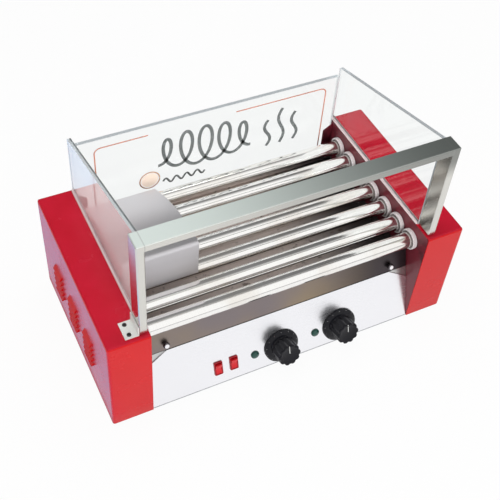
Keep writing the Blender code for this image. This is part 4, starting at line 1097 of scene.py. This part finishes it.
for side in side_sign:
    low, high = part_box(side + "_rocker")
    pivot = Vector(joints[side + "_rocker_tilt"]["pos_m"])
    level_place = along(((low.x + high.x) / 2, pivot.y, pivot.z), panel_out)
    seen_points = in_frame(side + "_rocker", level_place)
    low_lip, high_lip = min(seen_points, key=lambda p: p.y), max(seen_points, key=lambda p: p.z)
    lean = math.atan2(high_lip.z - low_lip.z, high_lip.y - low_lip.y)
    place = level_place @ Matrix.Rotation(lean, 4, "X")
    seen_points = in_frame(side + "_rocker", place)
    half, reach = max(p.y for p in seen_points), max(p.x for p in seen_points)
    lip, root = max(p.z for p in seen_points), min(p.z for p in seen_points)
    root_half = max(p.y for p in seen_points if p.z < root + hair)
    waist = min(p.z for p in seen_points if abs(p.y) < 1 * mm)
    middle = (lip + root) / 2
    rings = []
    for share, trim in ((1, 0.06), (0.96, 0.015), (0.9, 0), (0.6, 0), (0.3, 0), (0, 0)):
        outline = paddle_section(half, lip, waist, root_half, root, finger_hollow * (1 - share**2))
        left_over = 1 - trim
        rings.append([(share * reach, y * left_over, middle + (z - middle) * left_over) for y, z in outline])
    rings += [[(-x, y, z) for x, y, z in ring] for ring in reversed(rings[:-1])]
    body = side + "_rocker_body"
    made = piece(f"fine_{side}_rocker", lofted(rings), rocker_red, body, place)
    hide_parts(side + "_rocker")
print(f"2 paddles that lean {math.degrees(lean):.0f} degrees")

# %% [markdown]
# ## Tray pulls, feet and the cord inlet
#
# These small turned pieces only need rounder sides and softer edges than their solids have. The
# tray's pulls are blackened steel whose flat end has been ground bright. The direction that the
# surface faces picks the bright end.

# %% Small turned pieces
blackened = ((0.10, 0.09, 0.10), (0.20, 0.18, 0.19))
pull_steel = polished("pull_steel", *blackened, 0.16, 0.0)
direction = pull_steel.node("ShaderNodeTexCoord", output="Normal")
facing_out = pull_steel.node(
    "ShaderNodeVectorMath", {"operation": "DOT_PRODUCT"}, {0: direction, 1: panel_out}, "Value"
)
ground_end = pull_steel.rise(facing_out, 0.90, 0.98)
black_side = pull_steel.mix(pull_steel.noise(90), *blackened)
pull_steel.wear(Base_Color=pull_steel.mix(ground_end, black_side, (0.95, 0.93, 0.95)))
neck, pull_head, pull_edge = 3.0 * mm, 5.5 * mm, 1.6 * mm
for side in side_sign:
    low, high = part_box(side + "_tray_knob")
    head_radius = (high.x - low.x) / 2
    seen_points = in_frame(side + "_tray_knob", along((0, 0, 0), panel_out))
    foot_z, head_z = min(p.z for p in seen_points), max(p.z for p in seen_points)
    base = [p for p in seen_points if p.z < foot_z + hair]
    centre = Vector(((low.x + high.x) / 2, sum(p.y for p in base) / len(base), 0))
    profile = [(0, head_z), (head_radius - pull_edge, head_z), (head_radius, head_z - pull_edge)]
    profile += [(head_radius, head_z - pull_head), (neck, head_z - pull_head), (neck, foot_z), (0, foot_z)]
    place = along((0, 0, 0), panel_out) @ Matrix.Translation(centre)
    pull = turned(rounded(profile, 0.9 * mm), 48)
    made = piece(f"fine_{side}_tray_knob", pull, pull_steel, "tray_body", place)
    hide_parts(side + "_tray_knob")
foot_taper, hollow_radius, hollow_depth = 2 * mm, 5 * mm, 2 * mm
for name in [n for n in nodes if n.endswith("_foot")]:
    low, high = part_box(name)
    centre = (low + high) / 2
    radius, height = (high.x - low.x) / 2, high.z
    profile = [(0, height), (radius, height), (radius - foot_taper, 0)]
    profile += [(hollow_radius, 0), (hollow_radius, hollow_depth), (0, hollow_depth)]
    foot = turned(rounded(profile, 0.8 * mm), 48)
    place = Matrix.Translation((centre.x, centre.y, 0))
    made = piece("fine_" + name, foot, rubber, "housing", place)
    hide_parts(name)
print("tray pulls and feet")

# %% Cord inlet
low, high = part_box("cord_gland")
gland_x, gland_z = (low.x + high.x) / 2, (low.z + high.z) / 2
gland_radius = (high.x - low.x) / 2
tail_z, nose_z = low.y - back_y, high.y - back_y
thread, hole, nose, gland_gap = 8 * mm, 4 * mm, 4 * mm, 0.3 * mm
gland_profile = [(hole, nose_z), (thread, nose_z), (gland_radius, nose_z - nose), (gland_radius, gland_gap)]
gland_profile += [(thread, gland_gap), (thread, tail_z), (hole, tail_z), (hole, nose_z)]
gland = turned(rounded(gland_profile, 0.8 * mm))
place = along((gland_x, back_y, gland_z), (0, 1, 0))
made = piece("fine_cord_gland", gland, gland_black, "housing", place)
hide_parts("cord_gland")
print("cord inlet")

# %% [markdown]
# ## Rest cover
#
# The sheet over the rollers' left ends rises straight from its skirt, bends over softly and falls
# away to the rear in one even curve. The solid has that curve in a few flats, so we draw it again
# with many. Where the curve begins and ends is read from the solid, and so is the end flange that
# stands against the side wall.

# %% Rest cover
rest_low, rest_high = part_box("rest_cover")
rest_sheet, bend, skirt_depth, curve_steps = 1.2 * mm, 6 * mm, 5 * mm, 32
rest_points = [v.co for v in nodes["rest_cover"].data.vertices]
rear_top = max(p.z for p in rest_points if p.y > rest_high.y - 2 * hair)
behind_skirt = [p for p in rest_points if p.y > rest_low.y + skirt_depth]
flange_low = min(p.z for p in behind_skirt)
flange_ends = [p.y for p in behind_skirt if p.z < flange_low + 2 * hair]


def inset(path, depth):
    """The path moved sideways by a depth, to the right of its direction."""
    moved = []
    for k, (y, z) in enumerate(path):
        way = (Vector(path[min(k + 1, len(path) - 1)]) - Vector(path[max(k - 1, 0)])).normalized()
        moved.append((y + depth * way.y, z - depth * way.x))
    return moved


top_curve = arc(rest_low.y + bend, rest_high.z - bend, bend, 180, 90, 12)
for k in range(1, curve_steps + 1):
    share = k / curve_steps
    y = rest_low.y + bend + share * (rest_high.y - rest_low.y - bend)
    top_curve.append((y, rest_high.z - (rest_high.z - rear_top) * share**2))
outer = [(rest_low.y, rest_low.z)] + top_curve
section = outer + inset(outer, rest_sheet)[::-1]
rings = [[(x, y, z) for y, z in section] for x in (rest_low.x, rest_high.x)]
made = piece("fine_rest_cover", lofted(rings), rest_steel, "housing", sharp=40)
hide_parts("rest_cover")
flange = inset(top_curve, rest_sheet / 2) + [(max(flange_ends), flange_low), (min(flange_ends), flange_low)]
rings = [[(rest_low.x + x, y, z) for y, z in flange] for x in (hair, rest_sheet)]
piece("rest_cover_flange", lofted(rings), rest_steel, "housing")
print("rest cover with", len(top_curve), "points along its curve")

# %% [markdown]
# ## Screws
#
# Pan-head screws hold the side covers at the back, and two blackened ones hold the angle bracket. A
# head is a turned dome, and two crossed bars cut its recess with Booleans.

# %% Pan-head screws
head_radius = 3.2 * mm
head_height = 2.0 * mm
dome_profile = [(0, head_height)]
dome_profile += [
    (head_radius * math.sin(math.radians(a)), head_height * (0.35 + 0.65 * math.cos(math.radians(a))))
    for a in range(12, 91, 13)
]
shank_radius, shank_length = 1.4 * mm, 3 * mm
dome_profile += [(head_radius, 0), (shank_radius, 0), (shank_radius, -shank_length), (0, -shank_length)]
slot_bar = bar_mesh(0.8 * mm, 3.6 * mm, 1.8 * mm, 0.1 * mm)
head = bpy.data.objects.new("screw_head", turned(dome_profile, 40))
tools = [head]
for turn in (0, math.pi / 2):
    place = Matrix.Translation((0, 0, head_height)) @ Matrix.Rotation(turn, 4, "Z")
    tools.append(bpy.data.objects.new("screw_recess", merged([(slot_bar, place)])))
    head.modifiers.new("recess", "BOOLEAN").object = tools[-1]
for tool in tools:
    bpy.context.scene.collection.objects.link(tool)
graph = bpy.context.evaluated_depsgraph_get()
screw_mesh = bpy.data.meshes.new_from_object(head.evaluated_get(graph))
for tool in tools:
    bpy.data.objects.remove(tool)

screw_low, screw_pitch, screw_inset = 35 * mm, 120 * mm, 6.2 * mm
bracket_sheet = 1.5 * mm
bracket_screw_x, bracket_screw_shares = 0.62, (0.2, 0.8)
for side, sign in side_sign.items():
    for k in range(2):
        place = along((sign * (inner_x + screw_inset), back_y, screw_low + k * screw_pitch), (0, 1, 0))
        piece(f"{side}_cover_screw_{k + 1}", screw_mesh, turned_steel, "housing", place)
low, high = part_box("foot_bracket")
screw_x = high.x - bracket_screw_x * (high.x - low.x)
for k, share in enumerate(bracket_screw_shares):
    place = along((screw_x, low.y + share * (high.y - low.y), low.z + bracket_sheet), (0, 0, 1))
    piece(f"bracket_screw_{k + 1}", screw_mesh, black_steel, "housing", place)
print("6 screws")

# %% [markdown]
# ## Glass seals
#
# Each side glass stands in a soft pinkish bead that runs along both of its faces. The bead's
# section is a hollow fillet, drawn once and pulled along the glass.

# %% Seals along the side glasses
bead_width, bead_height, bead_steps, hollow_power = 2.6 * mm, 4.0 * mm, 6, 1.2
for side in side_sign:
    low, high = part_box(side + "_glass")
    for face, x, sign in (("outer", low.x, -1), ("inner", high.x, 1)):
        section = [(x, cover_top)]
        for k in range(bead_steps + 1):
            turn = math.pi / 2 * k / bead_steps
            across = bead_width * (1 - math.sin(turn)) ** hollow_power
            rise = bead_height * (1 - math.cos(turn)) ** hollow_power
            section.append((x + sign * max(across, 0.3 * mm), cover_top + max(rise, 0.2 * mm)))
        section.append((x, cover_top + bead_height))
        rings = [[(px, y, pz) for px, pz in section] for y in (low.y + 1 * mm, high.y)]
        piece(f"{side}_glass_{face}_bead", lofted(rings), seal_white, "housing")
print("4 beads")

# %% [markdown]
# ## Print on the rear glass
#
# The rear glass carries a thin rounded border and a decoration in grey and orange. Ours is a plain
# scroll of loops with three strokes of rising steam, a wave and a small ringed disc. Every line is a
# flat ribbon, about a tenth of a millimetre thick, on the customer's side of the glass. The ribbon
# is lofted from small upright sections along it. The palest ink is given a faint glow: painted
# light, standing for light that would come through it from behind.

# %% Ribbons
def ink(name, dark, light):
    """Screen-printed ink: even colour with a faintly mottled surface."""
    return moulded(name, dark, light, 0.45, 2500, 0.01 * mm)


grey_ink = ink("grey_ink", (0.15, 0.16, 0.16), (0.22, 0.23, 0.23))
border_ink = ink("border_ink", (0.62, 0.22, 0.15), (0.74, 0.32, 0.24))
orange_ink = ink("orange_ink", (0.66, 0.34, 0.20), (0.80, 0.44, 0.28))
pale_ink = ink("pale_ink", (0.95, 0.74, 0.62), (1.0, 0.82, 0.70))
# Painted light: the pale ink glows a little, though it is no lamp.
pale_ink.wear(Emission_Color=(1.0, 0.80, 0.68), Emission_Strength=0.35)
glass_low, glass_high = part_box("rear_glass")
ink_depth = 0.12 * mm
ink_y = glass_high.y + 0.02 * mm


def ribbon(name, path, width, finish):
    """A flat printed line along (x, z) points on the rear glass."""
    rings = []
    near, far = ink_y, ink_y + ink_depth
    for k, (x, z) in enumerate(path):
        before, after = path[max(k - 1, 0)], path[min(k + 1, len(path) - 1)]
        way = Vector((after[0] - before[0], after[1] - before[1])).normalized() * width / 2
        corners = (-1, near), (1, near), (1, far), (-1, far)
        rings.append([(x + sign * way.y, y, z - sign * way.x) for sign, y in corners])
    piece(name, lofted(rings), finish, "housing")


print("inks ready")

# %% Border and decoration
border_left, border_right = -195 * mm, 206 * mm
border_top, border_low = 264 * mm, glass_low.z + 5 * mm
corner = 10 * mm
border_width, ring_width = 2.2 * mm, 2.2 * mm
gap_left, gap_right = -108 * mm, 42 * mm
right_part = [(gap_right, border_top)] + arc(border_right - corner, border_top - corner, corner, 90, 0, 8)
ribbon("print_border_right", right_part + [(border_right, border_low)], border_width, border_ink)
left_part = [(border_left, border_low)] + arc(border_left + corner, border_top - corner, corner, 180, 90, 8)
ribbon("print_border_left", left_part + [(gap_left, border_top)], border_width, border_ink)

scroll_left, scroll_length, scroll_high, scroll_drop = -92, 164, 218, 8
loops, loop_width, loop_height, scroll_width, scroll_steps = 5, 19 * mm, 38 * mm, 6.0 * mm, 240
scroll = []
for k in range(scroll_steps + 1):
    t = k / scroll_steps
    swell = 0.62 + 0.38 * math.sin(math.pi * t)
    x = (scroll_left + scroll_length * t) * mm + loop_width * swell * math.sin(math.tau * loops * t)
    z = (scroll_high - scroll_drop * t) * mm + loop_height * swell * -math.cos(math.tau * loops * t)
    scroll.append((x, z))
ribbon("print_scroll", scroll, scroll_width, grey_ink)

steam_left, steam_gap, steam_foot, steam_sway = 102, 25, 172, 6 * mm
steam_width, steam_steps = 5.6 * mm, 24
for k, height in enumerate((56, 74, 60)):
    x = (steam_left + steam_gap * k) * mm
    steam = [
        (x + steam_sway * math.sin(math.tau * t / steam_steps), (steam_foot + height * t / steam_steps) * mm)
        for t in range(steam_steps + 1)
    ]
    ribbon(f"print_steam_{k + 1}", steam, steam_width, grey_ink)

wave_left, wave_length, wave_z, wave_rise = -84, 74, 157, 5
crests, wave_width, wave_steps = 4, 3.6 * mm, 60
wave = []
for t in range(wave_steps + 1):
    z = wave_z + wave_rise * math.sin(math.tau * crests * t / wave_steps)
    wave.append(((wave_left + wave_length * t / wave_steps) * mm, z * mm))
ribbon("print_wave", wave, wave_width, grey_ink)
ring_place = (-107 * mm, 168 * mm)
ring_radius, disc_radius = 17 * mm, 14.5 * mm
ribbon("print_ring", arc(*ring_place, ring_radius, 0, 356, 44), ring_width, orange_ink)
outline = arc(*ring_place, disc_radius, 0, 350, 35)
disc = [[(x, y, z) for x, z in outline] for y in (ink_y, ink_y + ink_depth)]
piece("print_disc", lofted(disc), pale_ink, "housing")
print("border, scroll, steam, wave and ring")
